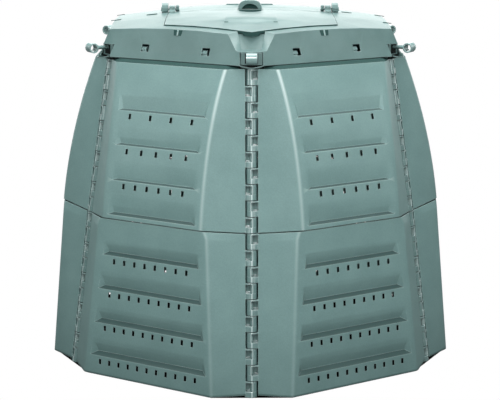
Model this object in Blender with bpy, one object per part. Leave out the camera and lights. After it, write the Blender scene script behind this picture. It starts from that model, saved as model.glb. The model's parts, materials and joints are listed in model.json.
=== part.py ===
import math

import bmesh
import bpy
from mathutils import Matrix, Vector
from mathutils.geometry import delaunay_2d_cdt

# Sides and seams of the hexagon
SIDES = 6
FRONT_SIDE_DEG = -60.0
SIDE_STEP_DEG = 60.0

# Hinge axis of a seam: distance from the middle of the bin at three heights
AXIS_FOOT = 0.633
AXIS_MID = 0.5655
AXIS_TOP = 0.4866
SEAM_SPLIT_Z = 0.480
SEAM_TOP_Z = 0.950
HALF_TURN = math.radians(SIDE_STEP_DEG / 2)

# Panels: the face stands proud of the straight line between two hinge axes
WALL = 0.0045
FLAT_ANGLE = math.radians(0.1)
BARREL = 0.017
EDGE_BACK = 0.004
EDGE_SIDE = 0.0185
EDGE_FLANGE = 0.030
PANEL_FOOT_Z = 0.006
SPLIT_GAP = 0.0010
SPLIT_RISE = 0.0125
PROUD_FOOT = 0.0858
PROUD_SPLIT = 0.1038
PROUD_UPPER_FOOT = 0.1068
PROUD_TOP = 0.0606
LOWER_FACE_FOOT = AXIS_FOOT * math.cos(HALF_TURN) + PROUD_FOOT
LOWER_FACE_TOP = AXIS_MID * math.cos(HALF_TURN) + PROUD_SPLIT
UPPER_FACE_FOOT = AXIS_MID * math.cos(HALF_TURN) + PROUD_UPPER_FOOT
UPPER_FACE_TOP = AXIS_TOP * math.cos(HALF_TURN) + PROUD_TOP
UPPER_FACE_BULGE = 0.0158
LOWER_RIDGE_FOOT = 0.2285
LOWER_RIDGE_TOP = 0.192
LEAD_IN = 0.011
LEAD_IN_STEP = 0.0095
LEAD_IN_Z = SEAM_SPLIT_Z - LEAD_IN
UPPER_RIDGE_FOOT = 0.1725
UPPER_RIDGE_FLARE = 0.018

# Louvres, bottom to top. Shares of the half's height: ledge, apex. Shares of the ridge's half width:
# ledge, apex, floor. Metres: rise and depth of the floor.
LOWER_LOUVRES = (
    (0.1371, 0.2550, 0.927, 0.895, 0.837, 0.0110, 0.021),
    (0.3521, 0.4590, 0.906, 0.880, 0.822, 0.0110, 0.021),
    (0.5735, 0.6890, 0.886, 0.858, 0.809, 0.0085, 0.021),
    (0.7931, 0.8890, 0.855, 0.824, 0.779, 0.0083, 0.020),
)
UPPER_LOUVRES = (
    (0.0553, 0.1921, 0.893, 0.846, 0.800, 0.0065, 0.013),
    (0.2745, 0.4057, 0.855, 0.827, 0.762, 0.0040, 0.014),
    (0.4957, 0.6162, 0.842, 0.846, 0.767, 0.0040, 0.014),
    (0.7085, 0.8632, 0.860, 0.872, 0.803, 0.0040, 0.015),
)

# Slot rows: share of the half's height, share of the ridge's half width that they span, number in the row
SLOT_HALF_WIDTH = 0.0029
SLOT_HALF_HEIGHT = 0.0083
LOWER_SLOT_ROWS = (
    (0.0994, 0.758, 11),
    (0.3204, 0.719, 10),
    (0.5396, 0.682, 9),
    (0.7562, 0.639, 8),
)
UPPER_SLOT_ROWS = (
    (0.2404, 0.600, 6),
    (0.4579, 0.599, 5),
    (0.6740, 0.617, 4),
)

# Knuckles of the seams
KNUCKLES_PER_HALF = 10
KNUCKLE_GAP = 0.002
KNUCKLE_ROOT = 0.0208
KNUCKLE_REACH = 0.0165
KNUCKLE_SIDE = 0.007
KNUCKLE_FRONT = 0.010
KNUCKLE_BACK = 0.0145
ROD_RADIUS = 0.005
ROD_CLEARANCE = 0.0003
KNUCKLE_HOLE = ROD_RADIUS + ROD_CLEARANCE
ROD_END_GAP = 0.0015
ROD_FOOT_Z = 0.002

# Shoulder on top of an upper panel, under the lid
SHOULDER_RISE = 0.009
SHOULDER_RUN = 0.014
SHOULDER_DEPTH = 0.028
SHOULDER_CUT = 0.0065
SHOULDER_TAIL_CUT = 0.0145

# Lid: its skirt stands on the shoulders, its roof rises from the skirt's rim
SKIRT_LIFT = 0.0110
SKIRT_INSET = 0.0180
SKIRT_RUN = 0.0336
LID_RISE = 0.1193
ROOF_DROP = 0.0393
ROOF_POWER = 2.3
ROOF_STEP = 0.11
LID_WALL = 0.004
SKIRT_FOOT_Z = SEAM_TOP_Z + SKIRT_LIFT
SKIRT_FOOT_APOTHEM = UPPER_FACE_TOP - SKIRT_INSET
SKIRT_SLOPE = SKIRT_RUN / (LID_RISE - ROOF_DROP)
ROOF_TOP_Z = SKIRT_FOOT_Z + LID_RISE
RIM_RADIUS = (SKIRT_FOOT_APOTHEM - SKIRT_RUN) / math.cos(HALF_TURN)
ROOF_NET_X = 0.345
ROOF_NET_Y = 0.125
CORNER_WINDOW_HALF = 0.034
CORNER_WINDOW_Z = SKIRT_FOOT_Z + 0.036
STEP_DRAFT = 0.0008
REBATE = 0.0075
LEDGE = 0.0115
LEDGE_TIP_CUT = 0.0313
BAR_HALF = 0.0195
LOBE_HALF_X = 0.0395
LOBE_HALF_Y = 0.0335
LOBE_LEDGE_X = 0.0055
LOBE_LEDGE_Y = 0.0016

# Snap windows in the skirt and the tongues that stand in them
WINDOW_HALF_WIDTH = 0.013
WINDOW_LIFT = 0.0215
WINDOW_HEIGHT = 0.021
TONGUE_U = 0.106
TONGUE_HALF_WIDTH = 0.009
TONGUE_THICK = 0.004
TONGUE_CLEARANCE = 0.0010
TONGUE_SINK = 0.0035
TONGUE_BARB = 0.0042
TONGUE_TIP = 0.0015
BARB_FOOT = 0.0025
BARB_HEAD = 0.0055
TIP_OUTER_DROP = 0.0035
TIP_INNER_DROP = 0.0025
WINDOW_LOW_Z = SKIRT_FOOT_Z + WINDOW_LIFT
WINDOW_HIGH_Z = WINDOW_LOW_Z + WINDOW_HEIGHT

# Flaps
FLAP_WALL = 0.0045
FLAP_SIDE_X = 0.260
FLAP_REAR_Y = 0.021
FLAP_TIP_INSET = 0.0437
FLAP_TIP_Y = RIM_RADIUS - FLAP_TIP_INSET
FLAP_GAP = 0.0025
NOTCH_HALF_X = 0.042
NOTCH_Y = 0.036
DISH_HALF_X = 0.0377
DISH_LENGTH = 0.081
DISH_DEPTH = 0.015
DISH_FLOOR_WIDTH = 0.72
DISH_FLOOR_LENGTH = 0.84
PAD_HALF_X = 0.080
PAD_NEAR_Y = 0.190
PAD_FAR_Y = 0.310
PAD_EDGE = 0.004
PAD_RISE = 0.003
LIP_HALF_X = 0.024
LIP_THICK = 0.0046
LIP_DROP = 0.010

# Finger scoops at the front and rear corners
SCOOP_TOP_HALF = 0.068
SCOOP_FLOOR_HALF = 0.044
SCOOP_FLOOR_Z = SKIRT_FOOT_Z + 0.040
SCOOP_MOUTH_HALF = 0.040
SCOOP_DEPTH = 0.037
SCOOP_BACK_Y = RIM_RADIUS - SCOOP_DEPTH

# Flap hinges
FLAP_PIN_RADIUS = 0.004
FLAP_PIN_CLEARANCE = 0.0003
PIN_HEAD_RADIUS = 0.0075
PIN_HEAD_THICK = 0.003
EAR_X = FLAP_SIDE_X + 0.013
EAR_RADIUS = 0.020
EAR_HALF = 0.010
FRONT_LUG_X = FLAP_SIDE_X - 0.010
FRONT_LUG_HALF = 0.0095
REAR_LUG_X = FLAP_SIDE_X - 0.0265
REAR_LUG_HALF = 0.0050
LUG_RADIUS = 0.0060
LUG_TOP = 0.0122
LUG_FRONT = 0.0205
LUG_FOOT_Y = 0.036
LUG_FOOT_SINK = 0.0022
LUG_FOOT_RISE = 0.0038

# Grip
GRIP_HALF_X = 0.0377
GRIP_HALF_Y = 0.018
GRIP_HEIGHT = 0.0297
GRIP_OPENING_HALF = 0.026
GRIP_OPENING_HEIGHT = 0.018
SEAT_GAP = 0.0003

# Locking pins, along the radius of each seam, through the eye of the rod and the lid's guide plate
PIN_LIFT = 0.037
PIN_Z = SEAM_TOP_Z + PIN_LIFT
PIN_RADIUS = 0.006
PIN_INNER = AXIS_TOP - 0.0266
RING_REACH = 0.0704
RING_CENTRE = AXIS_TOP + RING_REACH
RING_OUTER = 0.0155
RING_HOLE = 0.011
RING_HALF = 0.016
EYE_INNER = AXIS_TOP - 0.0186
EYE_OUTER = AXIS_TOP + 0.0034
EYE_HALF = 0.011
EYE_HOLE = 0.0069
EYE_CHAMFER = 0.005
EYE_LOW_Z = PIN_Z - 0.0135
EYE_HIGH_Z = PIN_Z + 0.0095
PLATE_OFFSET = 0.0134
PLATE_RADIUS = AXIS_TOP + PLATE_OFFSET
PLATE_HALF_WIDTH = 0.023
PLATE_HALF_THICK = 0.003
PLATE_EYE = 0.0065
PLATE_LOW_Z = PIN_Z - 0.015
PLATE_SHOULDER_Z = PIN_Z + 0.0035
PLATE_NECK = 0.015
WEB_INNER = AXIS_TOP - 0.0086
WEB_HALF = 0.046
WEB_LOW_Z = SKIRT_FOOT_Z + 0.0425
WEB_THICK = 0.004
WEB_HIGH_Z = WEB_LOW_Z + WEB_THICK

# Colours as linear values
SAGE = (0.235, 0.352, 0.330, 1.0)
PALE_SAGE = (0.300, 0.430, 0.405, 1.0)


def mix(a, b, t):
    return a + (b - a) * t


def seam_axis(z):
    if z < SEAM_SPLIT_Z:
        return mix(AXIS_FOOT, AXIS_MID, z / SEAM_SPLIT_Z)
    return mix(AXIS_MID, AXIS_TOP, (z - SEAM_SPLIT_Z) / (SEAM_TOP_Z - SEAM_SPLIT_Z))


def along(knots, z):
    for (z0, v0), (z1, v1) in zip(knots, knots[1:]):
        if z <= z1:
            return mix(v0, v1, (z - z0) / (z1 - z0))
    return knots[-1][1]


def material(name, colour, roughness, metallic):
    mat = bpy.data.materials.new(name)
    mat.use_nodes = True
    shader = mat.node_tree.nodes["Principled BSDF"]
    shader.inputs["Base Color"].default_value = colour
    shader.inputs["Roughness"].default_value = roughness
    shader.inputs["Metallic"].default_value = metallic
    mat.diffuse_color = colour
    return mat


class Sheet:
    """Points in a plane, each with a height, filled with triangles around the holes."""

    def __init__(self):
        self.points = []
        self.lifts = []
        self.edges = []
        self.outline = []
        self.holes = []

    def point(self, x, y, lift):
        for i, p in enumerate(self.points):
            if abs(p[0] - x) < 2e-6 and abs(p[1] - y) < 2e-6:
                return i
        self.points.append((x, y))
        self.lifts.append(lift)
        return len(self.points) - 1

    def line(self, ids, closed=False):
        self.edges += list(zip(ids, ids[1:]))
        if closed:
            self.edges.append((ids[-1], ids[0]))
        return ids

    def fill(self, place):
        flat = [Vector(p) for p in self.points]
        found = delaunay_2d_cdt(flat, self.edges, [self.outline] + self.holes, 1, 1e-7, True)
        verts, _, faces, origins, _, sources = found
        bm = bmesh.new()
        made = []
        for v, origin in zip(verts, origins):
            lift = self.lifts[origin[0]]
            made.append(bm.verts.new(place(v.x, v.y, lift)))
        for face, source in zip(faces, sources):
            if source and max(source) == 0:
                bm.faces.new([made[i] for i in face])
        loose = [v for v in bm.verts if not v.link_faces]
        bmesh.ops.delete(bm, geom=loose, context="VERTS")
        return bm


def prism(bm, outer, hole, low, high):
    """Add a closed prism: two flat outlines placed by low() and high()."""
    sheet = Sheet()
    ring = [sheet.point(x, y, 0.0) for x, y in outer]
    sheet.outline = ring
    inner = []
    if hole:
        inner = [sheet.point(x, y, 0.0) for x, y in hole]
        sheet.holes.append(inner)
    flat = [Vector(p) for p in sheet.points]
    loops = [ring] + sheet.holes
    verts, _, faces, origins, _, sources = delaunay_2d_cdt(flat, [], loops, 1, 1e-7, True)
    at = [origin[0] for origin in origins]
    bottom = [bm.verts.new(low(x, y)) for x, y in sheet.points]
    top = [bm.verts.new(high(x, y)) for x, y in sheet.points]
    new = []
    for face, source in zip(faces, sources):
        if source and max(source) == 0:
            ids = [at[i] for i in face]
            new.append(bm.faces.new([top[i] for i in ids]))
            new.append(bm.faces.new([bottom[i] for i in reversed(ids)]))
    for loop in loops:
        for i, j in zip(loop, loop[1:] + loop[:1]):
            new.append(bm.faces.new([bottom[i], bottom[j], top[j], top[i]]))
    bmesh.ops.recalc_face_normals(bm, faces=new)
    return new


def circle(x, y, radius, count, turn=0.0):
    angles = [turn + 2 * math.pi * i / count for i in range(count)]
    return [(x + radius * math.cos(a), y + radius * math.sin(a)) for a in angles]


def new_object(name, bm, mat):
    mesh = bpy.data.meshes.new(name)
    bm.to_mesh(mesh)
    bm.free()
    obj = bpy.data.objects.new(name, mesh)
    bpy.context.scene.collection.objects.link(obj)
    if mat:
        mesh.materials.append(mat)
    return obj


def apply_modifiers(obj):
    graph = bpy.context.evaluated_depsgraph_get()
    mesh = bpy.data.meshes.new_from_object(obj.evaluated_get(graph))
    old = obj.data
    obj.modifiers.clear()
    obj.data = mesh
    bpy.data.meshes.remove(old)
    mesh.name = obj.name


def thicken(obj, amount):
    mod = obj.modifiers.new("Wall", "SOLIDIFY")
    mod.thickness = amount
    mod.offset = -1.0
    mod.use_even_offset = True
    mod.use_rim = True
    apply_modifiers(obj)


def join_on(obj, bm):
    """Unite the closed solids of bm with obj."""
    tool = new_object("tool", bm, None)
    tool.hide_render = True
    tool.display_type = "WIRE"
    mod = obj.modifiers.new("Join", "BOOLEAN")
    mod.operation = "UNION"
    mod.solver = "EXACT"
    mod.use_self = True
    mod.object = tool
    apply_modifiers(obj)
    mesh = tool.data
    bpy.data.objects.remove(tool)
    bpy.data.meshes.remove(mesh)


def tidy_mesh(obj):
    bm = bmesh.new()
    bm.from_mesh(obj.data)
    bmesh.ops.remove_doubles(bm, verts=bm.verts, dist=0.00002)
    bmesh.ops.dissolve_degenerate(bm, edges=bm.edges, dist=0.00002)
    bmesh.ops.dissolve_limit(bm, angle_limit=FLAT_ANGLE, verts=bm.verts, edges=bm.edges)
    bmesh.ops.triangulate(bm, faces=bm.faces)
    bmesh.ops.recalc_face_normals(bm, faces=bm.faces)
    bm.to_mesh(obj.data)
    bm.free()


def edge_point(z, mirror):
    """Outer corner of a panel's long edge: distance along the normal, then along the side."""
    reach = seam_axis(z) + BARREL - EDGE_BACK
    out = reach * math.cos(HALF_TURN) + EDGE_SIDE * math.sin(HALF_TURN)
    side = reach * math.sin(HALF_TURN) - EDGE_SIDE * math.cos(HALF_TURN)
    return out, mirror * side


def slot_holes(sheet, rows, face, ridge):
    """Slots of the rows, each row given as height, share of the ridge's half width and number."""
    for z, share, count in rows:
        span = share * along(ridge, z)
        for i in range(count):
            u = -span + 2 * span * i / (count - 1)
            corners = []
            for du, dz in ((-1, -1), (1, -1), (1, 1), (-1, 1)):
                zz = z + dz * SLOT_HALF_HEIGHT
                corners.append(sheet.point(u + du * SLOT_HALF_WIDTH, zz, along(face, zz)))
            sheet.holes.append(corners)


def louvre_lines(sheet, louvres, face, ridge):
    """Louvres: a ledge and a floor that rises to the apex; heights in metres, widths as shares."""
    for z0, z1, ledge, apex, floor, rise, depth in louvres:
        half0 = ledge * along(ridge, z0)
        half1 = apex * along(ridge, z1)
        inner = floor * along(ridge, z0)
        low = along(face, z0 + rise) - depth
        a = sheet.point(-half0, z0, along(face, z0))
        b = sheet.point(half0, z0, along(face, z0))
        c = sheet.point(half1, z1, along(face, z1))
        d = sheet.point(-half1, z1, along(face, z1))
        e = sheet.point(-inner, z0 + rise, low)
        f = sheet.point(inner, z0 + rise, low)
        sheet.line([a, b, c, d], closed=True)
        sheet.line([d, e, f, c])
        sheet.line([a, e])
        sheet.line([b, f])


def at_heights(table, low, high, count):
    """Turn the first count shares of each row into heights between low and high."""
    return [tuple(mix(low, high, v) for v in row[:count]) + row[count:] for row in table]


def panel_sheet(face, ridge, edge_levels, louvres, rows):
    """Outer face of a panel that looks along +X, as triangles."""
    sheet = Sheet()
    sides = []
    for mirror in (-1, 1):
        rail = [sheet.point(mirror * r, z, along(face, z)) for z, r in ridge]
        edge = []
        for z in edge_levels:
            out, side = edge_point(z, mirror)
            edge.append(sheet.point(side, z, out))
        sheet.line(rail)
        sides.append((rail, edge))
    (rail_a, edge_a), (rail_b, edge_b) = sides
    sheet.outline = [edge_a[0], rail_a[0], rail_b[0]] + edge_b
    sheet.outline += [rail_b[-1], rail_a[-1]] + edge_a[:0:-1]
    louvre_lines(sheet, louvres, face, ridge)
    slot_holes(sheet, rows, face, ridge)
    for z0, z1, ledge, apex, _, _, _ in louvres:
        for z, share in ((z0, ledge), (z1, apex)):
            for i, (zr, r) in enumerate(ridge):
                if abs(zr - z) < 1e-6:
                    for mirror, rail in ((-1, rail_a), (1, rail_b)):
                        sheet.line([sheet.point(mirror * share * r, z, 0.0), rail[i]])
    return sheet.fill(lambda u, z, w: Vector((w, u, z)))


def find_vert(bm, x, y, z):
    return min(bm.verts, key=lambda v: (v.co - Vector((x, y, z))).length_squared)


def side_flanges(bm, levels):
    inner = {}
    for mirror in (-1, 1):
        outer = []
        back = []
        for z in levels:
            out, side = edge_point(z, mirror)
            outer.append(find_vert(bm, out, side, z))
            dx = EDGE_FLANGE * math.cos(HALF_TURN)
            dy = EDGE_FLANGE * math.sin(HALF_TURN)
            back.append(bm.verts.new((out - dx, side - mirror * dy, z)))
        for i in range(len(levels) - 1):
            bm.faces.new([outer[i], back[i], back[i + 1], outer[i + 1]])
        inner[mirror] = (outer[-1], back[-1])
    return inner


def shoulder(bm, corners, ridge_half):
    """Turn the top of an upper panel inwards, under the lid."""
    rows = {}
    for mirror in (-1, 1):
        rim = find_vert(bm, UPPER_FACE_TOP, mirror * ridge_half, SEAM_TOP_Z)
        out = UPPER_FACE_TOP - SHOULDER_RUN
        z = SEAM_TOP_Z + SHOULDER_RISE
        bend = bm.verts.new((out, mirror * (ridge_half - SHOULDER_CUT), z))
        tail = bm.verts.new((out - SHOULDER_DEPTH, mirror * (ridge_half - SHOULDER_TAIL_CUT), z))
        edge, back = corners[mirror]
        bm.faces.new([rim, edge, bend])
        bm.faces.new([edge, back, bend])
        bm.faces.new([bend, back, tail])
        rows[mirror] = (rim, bend, tail)
    a, b = rows[-1], rows[1]
    bm.faces.new([a[0], b[0], b[1], a[1]])
    bm.faces.new([a[1], b[1], b[2], a[2]])


def knuckle_outline():
    """Section of a knuckle: outwards, then away from its own panel."""
    return [
        (KNUCKLE_FRONT, -KNUCKLE_ROOT), (KNUCKLE_REACH, -KNUCKLE_SIDE), (KNUCKLE_REACH, KNUCKLE_SIDE),
        (KNUCKLE_REACH - KNUCKLE_FRONT, KNUCKLE_REACH), (-0.8 * KNUCKLE_REACH, KNUCKLE_REACH),
        (-KNUCKLE_BACK, -KNUCKLE_ROOT),
    ]


def add_knuckles(bm, bottom_z, pitch, foot_z):
    """Knuckles of both long edges: odd ones at the counter-clockwise edge, even ones at the other."""
    hole = [(KNUCKLE_HOLE, KNUCKLE_HOLE), (-KNUCKLE_HOLE, KNUCKLE_HOLE)]
    hole += [(-KNUCKLE_HOLE, -KNUCKLE_HOLE), (KNUCKLE_HOLE, -KNUCKLE_HOLE)]
    for i in range(KNUCKLES_PER_HALF):
        z0 = bottom_z + i * pitch + KNUCKLE_GAP / 2
        z1 = bottom_z + (i + 1) * pitch - KNUCKLE_GAP / 2
        if i == 0:
            z0 = foot_z
        mirror = 1 if i % 2 == 0 else -1
        turn = math.radians(mirror * SIDE_STEP_DEG / 2)

        def place(z):
            def put(p, q):
                reach = seam_axis(z) + p
                x = reach * math.cos(turn) - mirror * q * math.sin(turn)
                y = reach * math.sin(turn) + mirror * q * math.cos(turn)
                return Vector((x, y, z))
            return put

        prism(bm, knuckle_outline(), hole, place(z0), place(z1))


def skirt_apothem(z):
    return SKIRT_FOOT_APOTHEM - (z - SKIRT_FOOT_Z) * SKIRT_SLOPE


def add_tongues(bm):
    """Two snap tongues that stand on the shoulder and catch in the lid's windows."""
    inner = LID_WALL * math.hypot(1.0, SKIRT_SLOPE) + TONGUE_CLEARANCE
    foot = SEAM_TOP_Z + SHOULDER_RISE - TONGUE_SINK
    steps = (
        (foot, -TONGUE_THICK), (foot, 0.0),
        (WINDOW_LOW_Z + BARB_FOOT, 0.0), (WINDOW_LOW_Z + BARB_HEAD, TONGUE_BARB),
        (WINDOW_HIGH_Z - TIP_OUTER_DROP, TONGUE_TIP), (WINDOW_HIGH_Z - TIP_INNER_DROP, -TONGUE_THICK),
    )
    profile = [(skirt_apothem(z) - inner + step, z) for z, step in steps]
    for u in (-TONGUE_U, TONGUE_U):
        low = u - TONGUE_HALF_WIDTH
        high = u + TONGUE_HALF_WIDTH
        prism(bm, profile, [], lambda x, z: Vector((x, high, z)), lambda x, z: Vector((x, low, z)))


def finish_panel(obj, solids):
    thicken(obj, WALL)
    join_on(obj, solids)
    tidy_mesh(obj)


def build_lower_panel(mat):
    top = SEAM_SPLIT_Z - SPLIT_GAP / 2
    face_top = top + SPLIT_RISE
    face = [(0.0, LOWER_FACE_FOOT), (face_top, LOWER_FACE_TOP)]
    foot_ridge = mix(LOWER_RIDGE_FOOT, LOWER_RIDGE_TOP, PANEL_FOOT_Z / LEAD_IN_Z)
    top_ridge = LOWER_RIDGE_TOP - LEAD_IN_STEP
    ridge = [(PANEL_FOOT_Z, foot_ridge), (LEAD_IN_Z, LOWER_RIDGE_TOP), (face_top, top_ridge)]
    levels = [PANEL_FOOT_Z, top]
    louvres = at_heights(LOWER_LOUVRES, 0.0, SEAM_SPLIT_Z, 2)
    rows = at_heights(LOWER_SLOT_ROWS, 0.0, SEAM_SPLIT_Z, 1)
    bm = panel_sheet(face, ridge, levels, louvres, rows)
    side_flanges(bm, levels)
    bmesh.ops.recalc_face_normals(bm, faces=bm.faces)
    obj = new_object("lower_panel_1", bm, mat)
    solids = bmesh.new()
    add_knuckles(solids, 0.0, SEAM_SPLIT_Z / KNUCKLES_PER_HALF, 0.0)
    finish_panel(obj, solids)
    return obj


def build_upper_panel(mat):
    foot = SEAM_SPLIT_Z + SPLIT_GAP / 2
    face_foot = foot + SPLIT_RISE
    louvres = at_heights(UPPER_LOUVRES, SEAM_SPLIT_Z, SEAM_TOP_Z, 2)
    rows = at_heights(UPPER_SLOT_ROWS, SEAM_SPLIT_Z, SEAM_TOP_Z, 1)
    heights = [face_foot]
    for z0, z1, _, _, _, _, _ in louvres:
        heights += [z0, z1]
    heights.append(SEAM_TOP_Z)
    face = []
    ridge = []
    for z in heights:
        t = (z - face_foot) / (SEAM_TOP_Z - face_foot)
        w = mix(UPPER_FACE_FOOT, UPPER_FACE_TOP, t) + UPPER_FACE_BULGE * 4 * t * (1 - t)
        face.append((z, w))
        ridge.append((z, UPPER_RIDGE_FOOT + UPPER_RIDGE_FLARE * t ** 4))
    levels = [foot, SEAM_TOP_Z]
    bm = panel_sheet(face, ridge, levels, louvres, rows)
    corners = side_flanges(bm, levels)
    shoulder(bm, corners, ridge[-1][1])
    bmesh.ops.recalc_face_normals(bm, faces=bm.faces)
    obj = new_object("upper_panel_1", bm, mat)
    solids = bmesh.new()
    pitch = (SEAM_TOP_Z - SEAM_SPLIT_Z) / KNUCKLES_PER_HALF
    add_knuckles(solids, SEAM_SPLIT_Z, pitch, SEAM_SPLIT_Z + KNUCKLE_GAP / 2)
    add_tongues(solids)
    finish_panel(obj, solids)
    return obj


def ring_copies(first, base):
    """Turn the first piece to the front side and make the other five."""
    mesh = first.data
    plain = mesh.copy()
    for k in range(SIDES):
        turn = Matrix.Rotation(math.radians(FRONT_SIDE_DEG + SIDE_STEP_DEG * k), 4, "Z")
        if k == 0:
            obj = first
        else:
            obj = bpy.data.objects.new(f"{base}_{k + 1}", plain.copy())
            bpy.context.scene.collection.objects.link(obj)
        obj.name = f"{base}_{k + 1}"
        obj.data.name = obj.name
        obj.data.transform(turn)
        own = mesh.materials[0]
        if k:
            own = own.copy()
            obj.data.materials.clear()
            obj.data.materials.append(own)
        own.name = f"{base}_{k + 1}_material"
    bpy.data.meshes.remove(plain)


def seam_copies(first, base):
    first.data.transform(Matrix.Rotation(math.radians(-SIDE_STEP_DEG / 2), 4, "Z"))
    ring_copies(first, base)


def add_rod(bm, low_z, high_z):
    def put(z):
        return lambda p, q: Vector((seam_axis(min(z, SEAM_TOP_Z)) + p - shift(z), q, z))

    def shift(z):
        slope = (AXIS_MID - AXIS_TOP) / (SEAM_TOP_Z - SEAM_SPLIT_Z)
        return slope * max(0.0, z - SEAM_TOP_Z)

    prism(bm, circle(0, 0, ROD_RADIUS, 8), [], put(low_z), put(high_z))


def build_lower_rod(mat):
    bm = bmesh.new()
    add_rod(bm, ROD_FOOT_Z, SEAM_SPLIT_Z - ROD_END_GAP)
    obj = new_object("lower_rod_1", bm, mat)
    tidy_mesh(obj)
    return obj


def build_upper_rod(mat):
    bm = bmesh.new()
    add_rod(bm, SEAM_SPLIT_Z + ROD_END_GAP, EYE_LOW_Z + ROD_END_GAP)
    obj = new_object("upper_rod_1", bm, mat)
    eye = bmesh.new()
    side_z = EYE_HIGH_Z - EYE_CHAMFER
    top_y = EYE_HALF - EYE_CHAMFER
    outer = [(-EYE_HALF, EYE_LOW_Z), (EYE_HALF, EYE_LOW_Z), (EYE_HALF, side_z)]
    outer += [(top_y, EYE_HIGH_Z), (-top_y, EYE_HIGH_Z), (-EYE_HALF, side_z)]
    hole = circle(0, PIN_Z, EYE_HOLE, 8, math.pi / 8)
    prism(eye, outer, hole, lambda y, z: Vector((EYE_INNER, y, z)), lambda y, z: Vector((EYE_OUTER, y, z)))
    join_on(obj, eye)
    tidy_mesh(obj)
    return obj


def roof_z(x, y):
    return ROOF_TOP_Z - ROOF_DROP * (math.hypot(x, y) / RIM_RADIUS) ** ROOF_POWER


def split(points, longest, closed):
    out = []
    pairs = list(zip(points, points[1:] + points[:1]))
    if not closed:
        pairs = pairs[:-1]
    for (x0, y0), (x1, y1) in pairs:
        count = max(1, math.ceil(math.hypot(x1 - x0, y1 - y0) / longest - 1e-9))
        for i in range(count):
            out.append((mix(x0, x1, i / count), mix(y0, y1, i / count)))
    if not closed:
        out.append(points[-1])
    return out


def flap_opening(inset):
    """Opening of the frame for the rear flap, each side moved inwards by inset; counter-clockwise."""
    side = FLAP_SIDE_X + FLAP_GAP - inset
    rear = BAR_HALF + inset
    tip = FLAP_TIP_Y + (FLAP_GAP - inset) / math.cos(HALF_TURN)
    fall = math.tan(HALF_TURN)
    lobe_x = LOBE_HALF_X + inset
    lobe_y = LOBE_HALF_Y + inset
    return side, rear, tip, fall, lobe_x, lobe_y


def opening_points(inset, mouth):
    side, rear, tip, fall, lobe_x, lobe_y = flap_opening(inset)
    points = [(lobe_x, rear), (side, rear), (side, tip - fall * side)]
    points += [(mouth, tip - fall * mouth), (-mouth, tip - fall * mouth)]
    points += [(-side, tip - fall * side), (-side, rear)]
    points += [(-lobe_x, rear), (-lobe_x, lobe_y), (lobe_x, lobe_y)]
    return points


def skirt_point(k, along_side, z):
    """Point on the skirt of side k, at a distance along that side."""
    a = math.radians(FRONT_SIDE_DEG + SIDE_STEP_DEG * k)
    r = skirt_apothem(z)
    x = r * math.cos(a) - along_side * math.sin(a)
    y = r * math.sin(a) + along_side * math.cos(a)
    return x, y


def corner_half(z):
    return skirt_apothem(z) * math.tan(HALF_TURN)


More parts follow.
